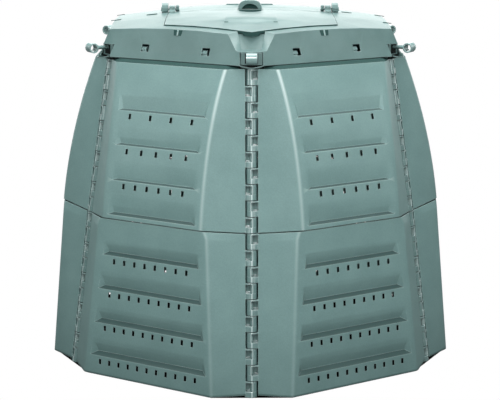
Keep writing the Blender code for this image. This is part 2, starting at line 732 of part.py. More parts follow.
def build_lid_frame(mat):
    sheet = Sheet()
    outline = []
    rim = {}
    for k in range(SIDES):
        start_half = corner_half(SKIRT_FOOT_Z)
        across = CORNER_WINDOW_HALF / math.cos(HALF_TURN)
        low_a = skirt_point(k, -start_half + across, SKIRT_FOOT_Z)
        low_b = skirt_point(k, start_half - across, SKIRT_FOOT_Z)
        up_half = corner_half(CORNER_WINDOW_Z)
        up_b = skirt_point(k, up_half - across, CORNER_WINDOW_Z)
        corner = skirt_point(k, up_half, CORNER_WINDOW_Z)
        up_next = skirt_point((k + 1) % SIDES, -up_half + across, CORNER_WINDOW_Z)
        outline.append(sheet.point(*low_a, SKIRT_FOOT_Z))
        outline.append(sheet.point(*low_b, SKIRT_FOOT_Z))
        outline.append(sheet.point(*up_b, CORNER_WINDOW_Z))
        outline.append(sheet.point(*corner, CORNER_WINDOW_Z))
        outline.append(sheet.point(*up_next, CORNER_WINDOW_Z))
        for u in (-TONGUE_U, TONGUE_U):
            hole = []
            for du, z in ((-1, WINDOW_LOW_Z), (1, WINDOW_LOW_Z), (1, WINDOW_HIGH_Z), (-1, WINDOW_HIGH_Z)):
                p = skirt_point(k, u + du * WINDOW_HALF_WIDTH, z)
                hole.append(sheet.point(*p, z))
            sheet.holes.append(hole)
        a0 = math.radians(FRONT_SIDE_DEG + SIDE_STEP_DEG * (k - 0.5))
        a1 = math.radians(FRONT_SIDE_DEG + SIDE_STEP_DEG * (k + 0.5))
        p0 = (RIM_RADIUS * math.cos(a0), RIM_RADIUS * math.sin(a0))
        p1 = (RIM_RADIUS * math.cos(a1), RIM_RADIUS * math.sin(a1))
        cut = SCOOP_TOP_HALF / math.cos(HALF_TURN) / RIM_RADIUS
        cut0 = cut if k in (0, 3) else 0.0
        cut1 = cut if k in (2, 5) else 0.0
        steps = [mix(cut0, 1 - cut1, i / 4) for i in range(5)]
        line = [(mix(p0[0], p1[0], t), mix(p0[1], p1[1], t)) for t in steps]
        rim[k] = sheet.line([sheet.point(x, y, roof_z(x, y)) for x, y in line])
    sheet.outline = outline

    for sign in (1, -1):
        for inset, drop in ((0.0, 0.0), (STEP_DRAFT, REBATE)):
            points = opening_points(inset, SCOOP_MOUTH_HALF)
            points = [(x, sign * y) for x, y in points]
            if inset == 0.0:
                front = points[4:] + points[:4]
                ids = [sheet.point(x, y, roof_z(x, y) - drop) for x, y in split(front, ROOF_STEP, False)]
                sheet.line(ids)
            else:
                ids = [sheet.point(x, y, roof_z(x, y) - drop) for x, y in split(points, ROOF_STEP, True)]
                sheet.line(ids, closed=True)
        inner = [(x, sign * y) for x, y in ledge_points()]
        ids = [sheet.point(x, y, roof_z(x, y) - REBATE) for x, y in split(inner, ROOF_STEP, True)]
        sheet.holes.append(ids if sign == 1 else ids[::-1])
        scoop_lines(sheet, sign)

    for x in (ROOF_NET_X, -ROOF_NET_X):
        for y in (0.0, ROOF_NET_Y, -ROOF_NET_Y):
            sheet.point(x, y, roof_z(x, y))
    bm = sheet.fill(lambda x, y, z: Vector((x, y, z)))
    bmesh.ops.recalc_face_normals(bm, faces=bm.faces)
    if sum(f.normal.z for f in bm.faces) < 0:
        bmesh.ops.reverse_faces(bm, faces=bm.faces)
    obj = new_object("lid_frame", bm, mat)
    thicken(obj, LID_WALL)
    join_on(obj, lid_solids())
    tidy_mesh(obj)
    return obj


def ledge_points():
    side, rear, tip, fall, _, _ = flap_opening(LEDGE)
    flat_y = FLAP_TIP_Y - LEDGE_TIP_CUT
    flat_x = (tip - flat_y) / fall
    lobe_x = LOBE_HALF_X + LOBE_LEDGE_X
    lobe_y = LOBE_HALF_Y + LOBE_LEDGE_Y
    points = [(lobe_x, rear), (side, rear), (side, tip - fall * side), (flat_x, flat_y), (-flat_x, flat_y)]
    points += [(-side, tip - fall * side), (-side, rear)]
    points += [(-lobe_x, rear), (-lobe_x, lobe_y), (lobe_x, lobe_y)]
    return points


def scoop_lines(sheet, sign):
    """Pocket in the corner: side walls, a hollow back wall and a flat floor."""
    fall = math.tan(HALF_TURN)
    rim_y = RIM_RADIUS - fall * SCOOP_TOP_HALF
    edge = skirt_apothem(SCOOP_FLOOR_Z) / math.cos(HALF_TURN)
    floor_y = edge - fall * SCOOP_FLOOR_HALF
    back = []
    for i in range(7):
        t = 1 - i / 3
        back.append((SCOOP_FLOOR_HALF * t, mix(SCOOP_BACK_Y, floor_y, t * t)))
    ids = [sheet.point(x, sign * y, SCOOP_FLOOR_Z) for x, y in back]
    sheet.line(ids)
    corner = sheet.point(0.0, sign * edge, SCOOP_FLOOR_Z)
    sheet.line([ids[0], corner, ids[-1]])
    _, _, tip, _, _, _ = flap_opening(0.0)
    _, _, low_tip, _, _, _ = flap_opening(STEP_DRAFT)
    for mirror, end, near in ((1, ids[0], ids[1]), (-1, ids[-1], ids[-2])):
        x = mirror * SCOOP_MOUTH_HALF
        y = tip - fall * SCOOP_MOUTH_HALF
        top = sheet.point(x, sign * y, roof_z(x, y))
        low_y = low_tip - fall * SCOOP_MOUTH_HALF
        low = sheet.point(x, sign * low_y, roof_z(x, low_y) - REBATE)
        x_rim = mirror * SCOOP_TOP_HALF
        rim = sheet.point(x_rim, sign * rim_y, roof_z(x_rim, rim_y))
        sheet.line([low, top, rim, end])
        sheet.line([low, near])
        sheet.line([top, near])


def lid_solids():
    """Ears of the flap hinges, and the web and guide plate of each locking pin."""
    bm = bmesh.new()
    hole = FLAP_PIN_RADIUS + FLAP_PIN_CLEARANCE
    for side in (-1, 1):
        a = side * EAR_X - EAR_HALF
        b = side * EAR_X + EAR_HALF
        outer = circle(0, ROOF_TOP_Z, EAR_RADIUS, 12, math.pi / 12)
        inner = circle(0, ROOF_TOP_Z, hole / math.cos(math.pi / 8), 8, math.pi / 8)
        prism(bm, outer, inner, lambda y, z: Vector((a, y, z)), lambda y, z: Vector((b, y, z)))
    for k in range(SIDES):
        turn = Matrix.Rotation(math.radians(FRONT_SIDE_DEG + SIDE_STEP_DEG * (k + 0.5)), 4, "Z")
        scoop = k in (2, 5)
        low_z = SCOOP_FLOOR_Z - 0.75 * LID_WALL if scoop else WEB_LOW_Z
        if not scoop:
            reach = (skirt_apothem(WEB_HIGH_Z) - LID_WALL / 2) / math.cos(HALF_TURN)
            side = reach - math.tan(HALF_TURN) * WEB_HALF
            web = [(WEB_INNER, -WEB_HALF), (side, -WEB_HALF), (reach, 0.0)]
            web += [(side, WEB_HALF), (WEB_INNER, WEB_HALF)]
            prism(
                bm, web, [], lambda x, y: turn @ Vector((x, y, WEB_LOW_Z)),
                lambda x, y: turn @ Vector((x, y, WEB_HIGH_Z)),
            )
        half = PLATE_HALF_WIDTH
        top = low_z + WEB_THICK * 0.375
        outer = [(-half, PLATE_LOW_Z), (half, PLATE_LOW_Z), (half, PLATE_SHOULDER_Z)]
        outer += [(PLATE_NECK, top), (-PLATE_NECK, top), (-half, PLATE_SHOULDER_Z)]
        eye = PLATE_EYE
        square = [(-eye, PIN_Z - eye), (eye, PIN_Z - eye), (eye, PIN_Z + eye), (-eye, PIN_Z + eye)]
        x0 = PLATE_RADIUS - PLATE_HALF_THICK
        x1 = PLATE_RADIUS + PLATE_HALF_THICK
        prism(
            bm, outer, square, lambda y, z: turn @ Vector((x0, y, z)),
            lambda y, z: turn @ Vector((x1, y, z)),
        )
    return bm


def build_flap(name, sign, lug_x, lug_half, mat):
    """Flap on the side of the middle line given by sign, with its dish, pad, lip and lugs."""
    sheet = Sheet()
    fall = math.tan(HALF_TURN)
    corner_y = FLAP_TIP_Y - fall * FLAP_SIDE_X
    inner_half = DISH_HALF_X * DISH_FLOOR_WIDTH
    inner_length = DISH_LENGTH * DISH_FLOOR_LENGTH
    back = [
        (NOTCH_HALF_X, FLAP_REAR_Y), (FLAP_SIDE_X, FLAP_REAR_Y), (FLAP_SIDE_X, corner_y),
        (0.0, FLAP_TIP_Y), (-FLAP_SIDE_X, corner_y), (-FLAP_SIDE_X, FLAP_REAR_Y),
        (-NOTCH_HALF_X, FLAP_REAR_Y), (-NOTCH_HALF_X, NOTCH_Y), (-DISH_HALF_X, NOTCH_Y),
    ]
    outline = [sheet.point(x, sign * y, roof_z(x, y)) for x, y in split(back, ROOF_STEP, False)]
    for x in (-inner_half, inner_half):
        outline.append(sheet.point(x, sign * NOTCH_Y, roof_z(x, NOTCH_Y) - DISH_DEPTH))
    for x in (DISH_HALF_X, NOTCH_HALF_X):
        outline.append(sheet.point(x, sign * NOTCH_Y, roof_z(x, NOTCH_Y)))
    sheet.outline = outline if sign == 1 else outline[::-1]
    for half, length, drop in ((DISH_HALF_X, DISH_LENGTH, 0.0), (inner_half, inner_length, DISH_DEPTH)):
        arc = []
        for i in range(9):
            phi = math.pi * i / 8
            x = half * math.cos(phi)
            y = NOTCH_Y + length * math.sin(phi)
            arc.append(sheet.point(x, sign * y, roof_z(x, y) - drop))
        sheet.line(arc)
    for edge, rise in ((0.0, 0.0), (PAD_EDGE, PAD_RISE)):
        x1 = PAD_HALF_X - edge
        y0 = PAD_NEAR_Y + edge
        y1 = PAD_FAR_Y - edge
        pad = split([(-x1, y0), (x1, y0), (x1, y1), (-x1, y1)], ROOF_STEP, True)
        sheet.line([sheet.point(x, sign * y, roof_z(x, y) + rise) for x, y in pad], closed=True)
    for x_share, y_share in ((0.615, 0.22), (0.655, 0.44), (0.577, 0.64), (0.0, 0.816), (0.346, 0.342)):
        for mirror in (-1, 1):
            x = mirror * x_share * FLAP_SIDE_X
            y = y_share * FLAP_TIP_Y
            sheet.point(x, sign * y, roof_z(x, y))
    y = (PAD_NEAR_Y + PAD_FAR_Y) / 2
    sheet.point(0.0, sign * y, roof_z(0.0, y) + PAD_RISE)
    bm = sheet.fill(lambda x, y, z: Vector((x, y, z)))
    bmesh.ops.recalc_face_normals(bm, faces=bm.faces)
    if sum(f.normal.z for f in bm.faces) < 0:
        bmesh.ops.reverse_faces(bm, faces=bm.faces)
    obj = new_object(name, bm, mat)
    thicken(obj, FLAP_WALL)
    join_on(obj, flap_solids(sign, lug_x, lug_half))
    tidy_mesh(obj)
    set_origin(obj, Vector((0.0, 0.0, ROOF_TOP_Z)))
    return obj


def flap_solids(sign, lug_x, lug_half):
    """Lip under the tip of a flap, and the two lugs that carry it on the hinge pins."""
    bm = bmesh.new()
    fall = math.tan(HALF_TURN)
    out_y = FLAP_TIP_Y - SEAT_GAP
    side_y = out_y - fall * LIP_HALF_X
    lip = [(0.0, out_y), (-LIP_HALF_X, side_y), (-LIP_HALF_X, side_y - LIP_THICK)]
    lip += [(0.0, out_y - LIP_THICK), (LIP_HALF_X, side_y - LIP_THICK), (LIP_HALF_X, side_y)]
    prism(
        bm, lip, [], lambda x, y: Vector((x, sign * y, roof_z(x, y) - LIP_DROP)),
        lambda x, y: Vector((x, sign * y, roof_z(x, y) - LIP_THICK / 2)),
    )
    hole = circle(0, 0, (FLAP_PIN_RADIUS + FLAP_PIN_CLEARANCE) / math.cos(math.pi / 8), 8, math.pi / 8)
    surface = roof_z(lug_x, LUG_FOOT_Y) - ROOF_TOP_Z
    foot_low = surface - LUG_FOOT_SINK
    foot_high = surface + LUG_FOOT_RISE
    r = LUG_RADIUS
    bevel = r * math.sqrt(0.5)
    # behind the pin the lug stays inside its radius, so it clears the roof as the flap turns
    lug = [
        (0.0, -r), (LUG_FRONT, -r), (LUG_FRONT + 0.0017, foot_low),
        (LUG_FOOT_Y, foot_low), (LUG_FOOT_Y, foot_high), (LUG_FRONT, -0.1 * r),
        (LUG_FRONT - 0.001, 0.75 * LUG_TOP), (0.016, LUG_TOP), (-0.7 * r, LUG_TOP),
        (-r, 0.8 * LUG_TOP), (-r, 0.0), (-bevel, -bevel),
    ]
    for side in (-1, 1):
        a = side * lug_x - lug_half
        b = side * lug_x + lug_half
        prism(
            bm, lug, hole, lambda y, z: Vector((a, sign * y, ROOF_TOP_Z + z)),
            lambda y, z: Vector((b, sign * y, ROOF_TOP_Z + z)),
        )
    return bm


def set_origin(obj, where):
    obj.data.transform(Matrix.Translation(-where))
    obj.location = where


def build_flap_pin(name, side, mat):
    bm = bmesh.new()
    inner = REAR_LUG_X - REAR_LUG_HALF - SPLIT_GAP
    outer = EAR_X + EAR_HALF + SEAT_GAP

    def at(x):
        return lambda y, z: Vector((side * x, y, z))

    shaft = circle(0, ROOF_TOP_Z, FLAP_PIN_RADIUS, 12, math.pi / 12)
    prism(bm, shaft, [], at(inner), at(outer + PIN_HEAD_THICK / 2))
    obj = new_object(name, bm, mat)
    head = bmesh.new()
    disc = circle(0, ROOF_TOP_Z, PIN_HEAD_RADIUS, 12, math.pi / 12)
    prism(head, disc, [], at(outer), at(outer + PIN_HEAD_THICK))
    join_on(obj, head)
    tidy_mesh(obj)
    return obj


def build_grip(mat):
    """Arched hand grip that stands on the middle of the lid."""
    base = ROOF_TOP_Z + SEAT_GAP
    outer = [(GRIP_HALF_X, base)]
    for i in range(1, 12):
        phi = math.pi * i / 12
        x = GRIP_HALF_X * math.copysign(abs(math.cos(phi)) ** 0.75, math.cos(phi))
        outer.append((x, base + GRIP_HEIGHT * math.sin(phi) ** 0.75))
    outer.append((-GRIP_HALF_X, base))
    outer.append((-GRIP_OPENING_HALF, base))
    for i in range(1, 8):
        phi = math.pi - math.pi * i / 8
        outer.append((GRIP_OPENING_HALF * math.cos(phi), base + GRIP_OPENING_HEIGHT * math.sin(phi)))
    outer.append((GRIP_OPENING_HALF, base))
    bm = bmesh.new()
    prism(
        bm, outer, [], lambda x, z: Vector((x, -GRIP_HALF_Y, z)),
        lambda x, z: Vector((x, GRIP_HALF_Y, z)),
    )
    obj = new_object("centre_grip", bm, mat)
    tidy_mesh(obj)
    return obj


def build_locking_pin(mat):
    """Radial pin that looks along +X, with its ring pull."""
    bm = bmesh.new()
    shaft = circle(0, PIN_Z, PIN_RADIUS, 12, math.pi / 12)
    end = RING_CENTRE - (RING_OUTER + RING_HOLE) / 2
    prism(bm, shaft, [], lambda y, z: Vector((PIN_INNER, y, z)), lambda y, z: Vector((end, y, z)))
    obj = new_object("locking_pin_1", bm, mat)
    ring = bmesh.new()
    outer = circle(RING_CENTRE, PIN_Z, RING_OUTER, 12)
    hole = circle(RING_CENTRE, PIN_Z, RING_HOLE, 12)
    prism(
        ring, outer, hole, lambda x, z: Vector((x, -RING_HALF, z)),
        lambda x, z: Vector((x, RING_HALF, z)),
    )
    join_on(obj, ring)
    tidy_mesh(obj)
    return obj


def pin_origins():
    for k in range(SIDES):
        obj = bpy.data.objects[f"locking_pin_{k + 1}"]
        a = math.radians(FRONT_SIDE_DEG - SIDE_STEP_DEG / 2 + SIDE_STEP_DEG * k)
        set_origin(obj, Vector((PIN_INNER * math.cos(a), PIN_INNER * math.sin(a), PIN_Z)))


def shade(obj, smooth):
    for face in obj.data.polygons:
        face.use_smooth = smooth


def main():
    for obj in list(bpy.data.objects):
        bpy.data.objects.remove(obj)
    ring_copies(build_lower_panel(material("lower_panel_1_material", SAGE, 0.55, 0.0)), "lower_panel")
    ring_copies(build_upper_panel(material("upper_panel_1_material", SAGE, 0.55, 0.0)), "upper_panel")
    seam_copies(build_lower_rod(material("lower_rod_1_material", SAGE, 0.5, 0.0)), "lower_rod")
    seam_copies(build_upper_rod(material("upper_rod_1_material", SAGE, 0.5, 0.0)), "upper_rod")
    build_lid_frame(material("lid_frame_material", PALE_SAGE, 0.5, 0.0))
    flap_mat = material("front_flap_material", PALE_SAGE, 0.5, 0.0)
    build_flap("front_flap", -1, FRONT_LUG_X, FRONT_LUG_HALF, flap_mat)
    flap_mat = material("rear_flap_material", PALE_SAGE, 0.5, 0.0)
    build_flap("rear_flap", 1, REAR_LUG_X, REAR_LUG_HALF, flap_mat)
    build_flap_pin("flap_pin_left", -1, material("flap_pin_left_material", SAGE, 0.5, 0.0))
    build_flap_pin("flap_pin_right", 1, material("flap_pin_right_material", SAGE, 0.5, 0.0))
    build_grip(material("centre_grip_material", PALE_SAGE, 0.5, 0.0))
    seam_copies(build_locking_pin(material("locking_pin_1_material", SAGE, 0.5, 0.0)), "locking_pin")
    pin_origins()
    for obj in bpy.data.objects:
        shade(obj, obj.name.startswith(("locking_pin", "flap_pin")))


main()
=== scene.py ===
import json
import math

import bmesh
import bpy
from mathutils import Matrix, Vector
from mathutils.geometry import delaunay_2d_cdt

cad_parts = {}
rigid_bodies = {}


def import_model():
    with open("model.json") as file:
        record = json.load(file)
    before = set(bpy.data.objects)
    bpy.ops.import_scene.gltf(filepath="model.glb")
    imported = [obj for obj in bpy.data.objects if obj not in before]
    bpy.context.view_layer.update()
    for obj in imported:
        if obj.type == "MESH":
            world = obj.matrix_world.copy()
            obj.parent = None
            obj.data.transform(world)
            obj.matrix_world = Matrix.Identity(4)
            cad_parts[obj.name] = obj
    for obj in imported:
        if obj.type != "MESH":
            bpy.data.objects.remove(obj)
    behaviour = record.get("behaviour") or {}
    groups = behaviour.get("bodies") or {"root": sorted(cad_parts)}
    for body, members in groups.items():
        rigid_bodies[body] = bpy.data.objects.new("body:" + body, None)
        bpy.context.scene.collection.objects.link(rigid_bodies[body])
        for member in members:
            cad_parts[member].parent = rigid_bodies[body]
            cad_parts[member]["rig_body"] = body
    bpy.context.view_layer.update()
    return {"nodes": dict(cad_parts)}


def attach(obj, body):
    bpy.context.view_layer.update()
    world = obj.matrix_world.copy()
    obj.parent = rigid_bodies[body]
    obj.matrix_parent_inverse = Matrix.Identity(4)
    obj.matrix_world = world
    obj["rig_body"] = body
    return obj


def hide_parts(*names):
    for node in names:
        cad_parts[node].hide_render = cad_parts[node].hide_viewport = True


# Thermal compost bin, product shot on white
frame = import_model()
scene = bpy.context.scene


def linear(code):
    parts = [int(code[i:i + 2], 16) / 255 for i in (0, 2, 4)]
    return [c / 12.92 if c <= 0.04045 else ((c + 0.055) / 1.055) ** 2.4 for c in parts] + [1.0]


def addNode(tree, kind, values=None, **settings):
    node = tree.nodes.new("ShaderNode" + kind)
    for name, value in settings.items():
        setattr(node, name, value)
    for key, value in (values or {}).items():
        if isinstance(value, bpy.types.NodeSocket):
            tree.links.new(value, node.inputs[key])
        else:
            node.inputs[key].default_value = value
    return node


def emptyMaterial(name):
    mat = bpy.data.materials.new(name)
    mat.use_nodes = True
    mat.node_tree.nodes.clear()
    return mat, mat.node_tree


refraction = 1.49  # of polypropylene
nearbySamples = 6  # rays to find a rounded edge or a gap


def cloudyMelt(tree, plastic):
    place = addNode(tree, "TexCoord").outputs["Object"]
    flow = addNode(tree, "TexNoise", {"Vector": place, "Scale": 1000 / plastic["flowMm"], "Detail": 4.0})
    grain = addNode(tree, "TexNoise", {"Vector": place, "Scale": 1000 / plastic["grainMm"], "Detail": 2.0})
    both = addNode(tree, "Mix", {
        "Factor": plastic["speckle"],
        "A": flow.outputs["Fac"],
        "B": grain.outputs["Fac"],
    })
    tone = addNode(tree, "MapRange", {
        "Value": both.outputs["Result"],
        "From Min": plastic["cloudDark"],
        "From Max": plastic["cloudLight"],
    })
    base = addNode(tree, "Mix", {
        "A": linear(plastic["dark"]),
        "B": linear(plastic["light"]),
        "Factor": tone.outputs["Result"],
    }, data_type="RGBA")
    return base, grain


def facingUp(tree, plastic, flat):
    up = addNode(tree, "SeparateXYZ", {"Vector": flat.outputs["Normal"]})
    return addNode(tree, "MapRange", {
        "Value": up.outputs["Z"],
        "From Min": plastic["steepest"],
        "From Max": plastic["level"],
    })


# Painted shade: faces that look up, a line at the foot and the lower part of the bin are mixed towards a
# dark colour, darker towards the bottom
def paintedShadeLowDown(tree, plastic, flat, ledge, base):
    height = addNode(tree, "SeparateXYZ", {"Vector": flat.outputs["Position"]})
    foot = addNode(tree, "MapRange", {
        "Value": height.outputs["Z"],
        "From Min": plastic["soilLine"],
        "From Max": plastic["soiled"],
    })
    lowShading = addNode(tree, "MapRange", {
        "Value": height.outputs["Z"],
        "From Min": plastic["splashTop"],
        "From Max": 0.0,
        "To Max": plastic["splashed"],
    })
    shadeBelow = addNode(tree, "Math", {
        0: lowShading.outputs["Result"],
        1: foot.outputs["Result"],
    }, operation="MAXIMUM")
    shadeMask = addNode(tree, "Math", {
        0: ledge.outputs["Result"],
        1: shadeBelow.outputs["Value"],
    }, operation="MAXIMUM")
    paintedShade = addNode(tree, "Math", {
        0: shadeMask.outputs["Value"],
        1: plastic["settled"],
    }, operation="MULTIPLY")
    return addNode(tree, "Mix", {
        "A": base.outputs["Result"],
        "B": linear(plastic["silt"]),
        "Factor": paintedShade.outputs["Value"],
    }, data_type="RGBA")


# Painted highlights: edges are painted pale where the rounded normal turns, and marked ridges, louvre edges
# and knuckle crowns get a painted highlight; the same mask lowers the roughness
def paintedEdgeHighlight(tree, plastic, flat, soft, ledge):
    turn = addNode(tree, "VectorMath", {
        0: soft.outputs["Normal"],
        1: flat.outputs["Normal"],
    }, operation="DOT_PRODUCT")
    worn = addNode(tree, "MapRange", {
        "Value": turn.outputs["Value"],
        "From Min": plastic["flatTurn"],
        "From Max": plastic["edgeTurn"],
        "To Max": plastic["rub"],
    })
    handled = addNode(tree, "Attribute", attribute_name="handled")
    upright = addNode(tree, "Math", {0: 1.0, 1: ledge.outputs["Result"]}, operation="SUBTRACT")
    ridges = addNode(tree, "Math", {
        0: handled.outputs["Fac"],
        1: upright.outputs["Value"],
    }, operation="MULTIPLY")
    return addNode(tree, "Math", {
        0: worn.outputs["Result"],
        1: ridges.outputs["Value"],
    }, operation="MAXIMUM")


# Painted shade: the colour darkens towards near black where ambient occlusion finds a gap, crease or hollow
def paintedShadeInGaps(tree, plastic, clean):
    shade = addNode(tree, "AmbientOcclusion", {"Distance": plastic["crevice"]}, samples=nearbySamples)
    clear = addNode(tree, "MapRange", {
        "Value": shade.outputs["AO"],
        "From Min": plastic["shut"],
        "From Max": plastic["open"],
    })
    return addNode(tree, "Mix", {
        "A": linear(plastic["dirt"]),
        "B": clean.outputs["Result"],
        "Factor": clear.outputs["Result"],
    }, data_type="RGBA")


def mouldedPolypropylene(name, plastic):
    mat, tree = emptyMaterial(name)
    flat = addNode(tree, "NewGeometry")
    soft = addNode(tree, "Bevel", {"Radius": plastic["edge"]}, samples=nearbySamples)
    base, grain = cloudyMelt(tree, plastic)
    ledge = facingUp(tree, plastic, flat)
    ledgeShaded = paintedShadeLowDown(tree, plastic, flat, ledge, base)
    highlightAndPolish = paintedEdgeHighlight(tree, plastic, flat, soft, ledge)
    highlighted = addNode(tree, "Mix", {
        "A": ledgeShaded.outputs["Result"],
        "B": linear(plastic["worn"]),
        "Factor": highlightAndPolish.outputs["Value"],
    }, data_type="RGBA")
    gapShaded = paintedShadeInGaps(tree, plastic, highlighted)
    bump = addNode(tree, "Bump", {
        "Height": grain.outputs["Fac"],
        "Strength": plastic["bump"],
        "Distance": plastic["etch"],
        "Normal": soft.outputs["Normal"],
    })
    rough = addNode(tree, "MapRange", {
        "Value": highlightAndPolish.outputs["Value"],
        "To Min": plastic["rough"],
        "To Max": plastic["polished"],
    })
    shader = addNode(tree, "BsdfPrincipled", {
        "Base Color": gapShaded.outputs["Result"],
        "Roughness": rough.outputs["Result"],
        "Normal": bump.outputs["Normal"],
        "IOR": refraction,
        "Specular IOR Level": plastic["shine"],
    })
    addNode(tree, "OutputMaterial", {"Surface": shader.outputs["BSDF"]})
    return mat


# Injection moulded in a finely etched tool: a satin sheen, cloudy where the melt flowed, with painted
# highlights on edges and ridges and painted shade on ledges, at the foot, low down and in gaps.
# Moulded grain is about 0.3 mm across, too fine to show from here, so it is drawn at 4 mm.
panelPlastic = {
    "dark": "6e8f8d",
    "light": "789997",
    "cloudDark": 0.36,
    "cloudLight": 0.64,
    "worn": "c8dcda",
    "flatTurn": 0.999,
    "edgeTurn": 0.80,
    "silt": "2c4644",
    "steepest": 0.50,
    "level": 0.75,
    "settled": 0.85,
    "soilLine": 0.016,
    "soiled": 0.007,
    "splashTop": 0.25,
    "splashed": 0.25,
    "speckle": 0.45,
    "polished": 0.22,
    "flowMm": 90,
    "grainMm": 4.0,
    "etch": 0.0008,
    "edge": 0.0030,
    "rub": 0.45,
    "bump": 0.45,
    "rough": 0.50,
    "shine": 0.5,
    "crevice": 0.009,
    "shut": 0.10,
    "open": 0.50,
    "dirt": "0a1212",
}
panelMaterial = mouldedPolypropylene("moulded recycled polypropylene, panels", panelPlastic)
# Moulded in a polished part of the tool: tight highlights down the seams
knucklePlastic = dict(panelPlastic, dark="688684", light="72908e", settled=0.0, rough=0.16)
knucklePlastic.update(crevice=0.006, shut=0.04, open=0.42, rub=0.5, shine=1.0, bump=0.05)
knuckleMaterial = mouldedPolypropylene("moulded recycled polypropylene, knuckles", knucklePlastic)
# Darker than the panels, etched finer: an even satin lid with fainter painted highlights on its edges
lidPlastic = dict(panelPlastic, dark="5a7674", light="64807e", settled=0.0)
lidPlastic.update(rub=0.25, rough=0.38, speckle=0.15)
lidMaterial = mouldedPolypropylene("moulded recycled polypropylene, lid", lidPlastic)
# Moulded glossy so that they slide: rods and pins paler than the panels, partly painted light for the lit
# rods in the knuckle windows, with painted highlights on their edges
rodPlastic = dict(knucklePlastic, dark="7a9896", light="84a2a0", crevice=0.003)
rodMaterial = mouldedPolypropylene("moulded polypropylene, rods and pins", rodPlastic)


def darkPolypropylene(name, darkening):
    mat, tree = emptyMaterial(name)
    place = addNode(tree, "TexCoord").outputs["Object"]
    mottle = addNode(tree, "TexNoise", {"Vector": place, "Scale": 1000 / darkening["crumbMm"], "Detail": 3.0})
    tone = addNode(tree, "MapRange", {
        "Value": mottle.outputs["Fac"],
        "To Min": 1 - darkening["uneven"],
        "To Max": 1 + darkening["uneven"],
    })
    base = addNode(tree, "VectorMath", {
        0: linear(darkening["colour"])[:3],
        "Scale": tone.outputs["Result"],
    }, operation="SCALE")
    shader = addNode(tree, "BsdfPrincipled", {
        "Base Color": base.outputs["Vector"],
        "Roughness": darkening["rough"],
        "Specular IOR Level": darkening["shine"],
    })
    addNode(tree, "OutputMaterial", {"Surface": shader.outputs["BSDF"]})
    return mat


# Painted shade in the slots and behind the skirt's corners: near black and matt, with a faint mottle drawn
# at 6 mm.
slotShade = {"colour": "0c1413", "rough": 0.9, "shine": 0.2, "crumbMm": 6, "uneven": 0.2}
paintedShadeMaterial = darkPolypropylene("polypropylene, damp compost in the slots", slotShade)
# Dust and painted shade in the seams, round the flaps, in the dish and under the skirt: dark grey-green
# with hardly a sheen
seamDustAndShade = dict(slotShade, colour="2c4a47", rough=0.8)
dustAndShadeMaterial = darkPolypropylene("polypropylene, dust in the seams", seamDustAndShade)
print("materials made")

# The hexagon: hinge axis of a seam at foot, middle and top, and the two halves' heights
hexagon = {
    "axisFoot": 0.633,
    "axisMiddle": 0.5655,
    "axisTop": 0.4866,
    "split": 0.480,
    "top": 0.950,
    "barrel": 0.017,
    "edgeBack": 0.004,
    "edgeSide": 0.0185,
    "flange": 0.030,
    "halfTurn": math.radians(30),
    "sides": 6,
    "turn": 60,
    "firstSide": -60,
    "firstCorner": -90,
}


def mixed(a, b, t):
    return a + (b - a) * t


def clamped(t):
    return min(1.0, max(0.0, t))


def turnTo(k, first):
    return Matrix.Rotation(math.radians(hexagon["turn"] * k + first), 4, "Z")


def seamAxis(z):
    if z < hexagon["split"]:
        return mixed(hexagon["axisFoot"], hexagon["axisMiddle"], z / hexagon["split"])
    t = (z - hexagon["split"]) / (hexagon["top"] - hexagon["split"])
    return mixed(hexagon["axisMiddle"], hexagon["axisTop"], t)


def edgePoint(z, mirror):
    reach = seamAxis(z) + hexagon["barrel"] - hexagon["edgeBack"]
    out = reach * math.cos(hexagon["halfTurn"]) + hexagon["edgeSide"] * math.sin(hexagon["halfTurn"])
    side = reach * math.sin(hexagon["halfTurn"]) - hexagon["edgeSide"] * math.cos(hexagon["halfTurn"])
    return out, mirror * side


weld = 1e-7  # points closer than this are one


class Plane:
    def __init__(self):
        self.points = []
        self.heights = []
        self.known = {}
        self.lines = []
        self.holes = []
        self.outline = []

    def add(self, x, y, height):
        key = (round(x, 5), round(y, 5))
        if key not in self.known:
            self.known[key] = len(self.points)
            self.points.append(Vector((x, y)))
            self.heights.append(height)
        return self.known[key]

    def line(self, ids):
        self.lines += zip(ids, ids[1:])

    def mesh(self, bm, place):
        loops = [self.outline] + self.holes
        found = delaunay_2d_cdt(self.points, self.lines, loops, 1, weld, True)
        made = {}
        for i, (spot, origin) in enumerate(zip(found[0], found[3])):
            made[i] = bm.verts.new(place(spot.x, spot.y, self.heights[origin[0]]))
        for face, source in zip(found[2], found[5]):
            if source and max(source) == 0:
                bm.faces.new([made[i] for i in face])
        bmesh.ops.delete(bm, geom=[v for v in bm.verts if not v.link_faces], context="VERTS")


def prism(bm, outline, hole, low, high):
    plane = Plane()
    plane.outline = [plane.add(x, y, 0) for x, y in outline]
    if hole:
        plane.holes.append([plane.add(x, y, 0) for x, y in hole])
    loops = [plane.outline] + plane.holes
    found = delaunay_2d_cdt(plane.points, [], loops, 1, weld, True)
    bottom = [bm.verts.new(low(*point)) for point in plane.points]
    top = [bm.verts.new(high(*point)) for point in plane.points]
    new = []
    for face, source in zip(found[2], found[5]):
        if source and max(source) == 0:
            ids = [found[3][i][0] for i in face]
            new.append(bm.faces.new([top[i] for i in ids]))
            new.append(bm.faces.new([bottom[i] for i in reversed(ids)]))
    for loop in loops:
        for i, j in zip(loop, loop[1:] + loop[:1]):
            new.append(bm.faces.new([bottom[i], bottom[j], top[j], top[i]]))
    bmesh.ops.recalc_face_normals(bm, faces=new)
    return new


def arc(x, y, radius, start, end, count):
    angles = [math.radians(mixed(start, end, i / count)) for i in range(count + 1)]
    return [(x + radius * math.cos(a), y + radius * math.sin(a)) for a in angles]


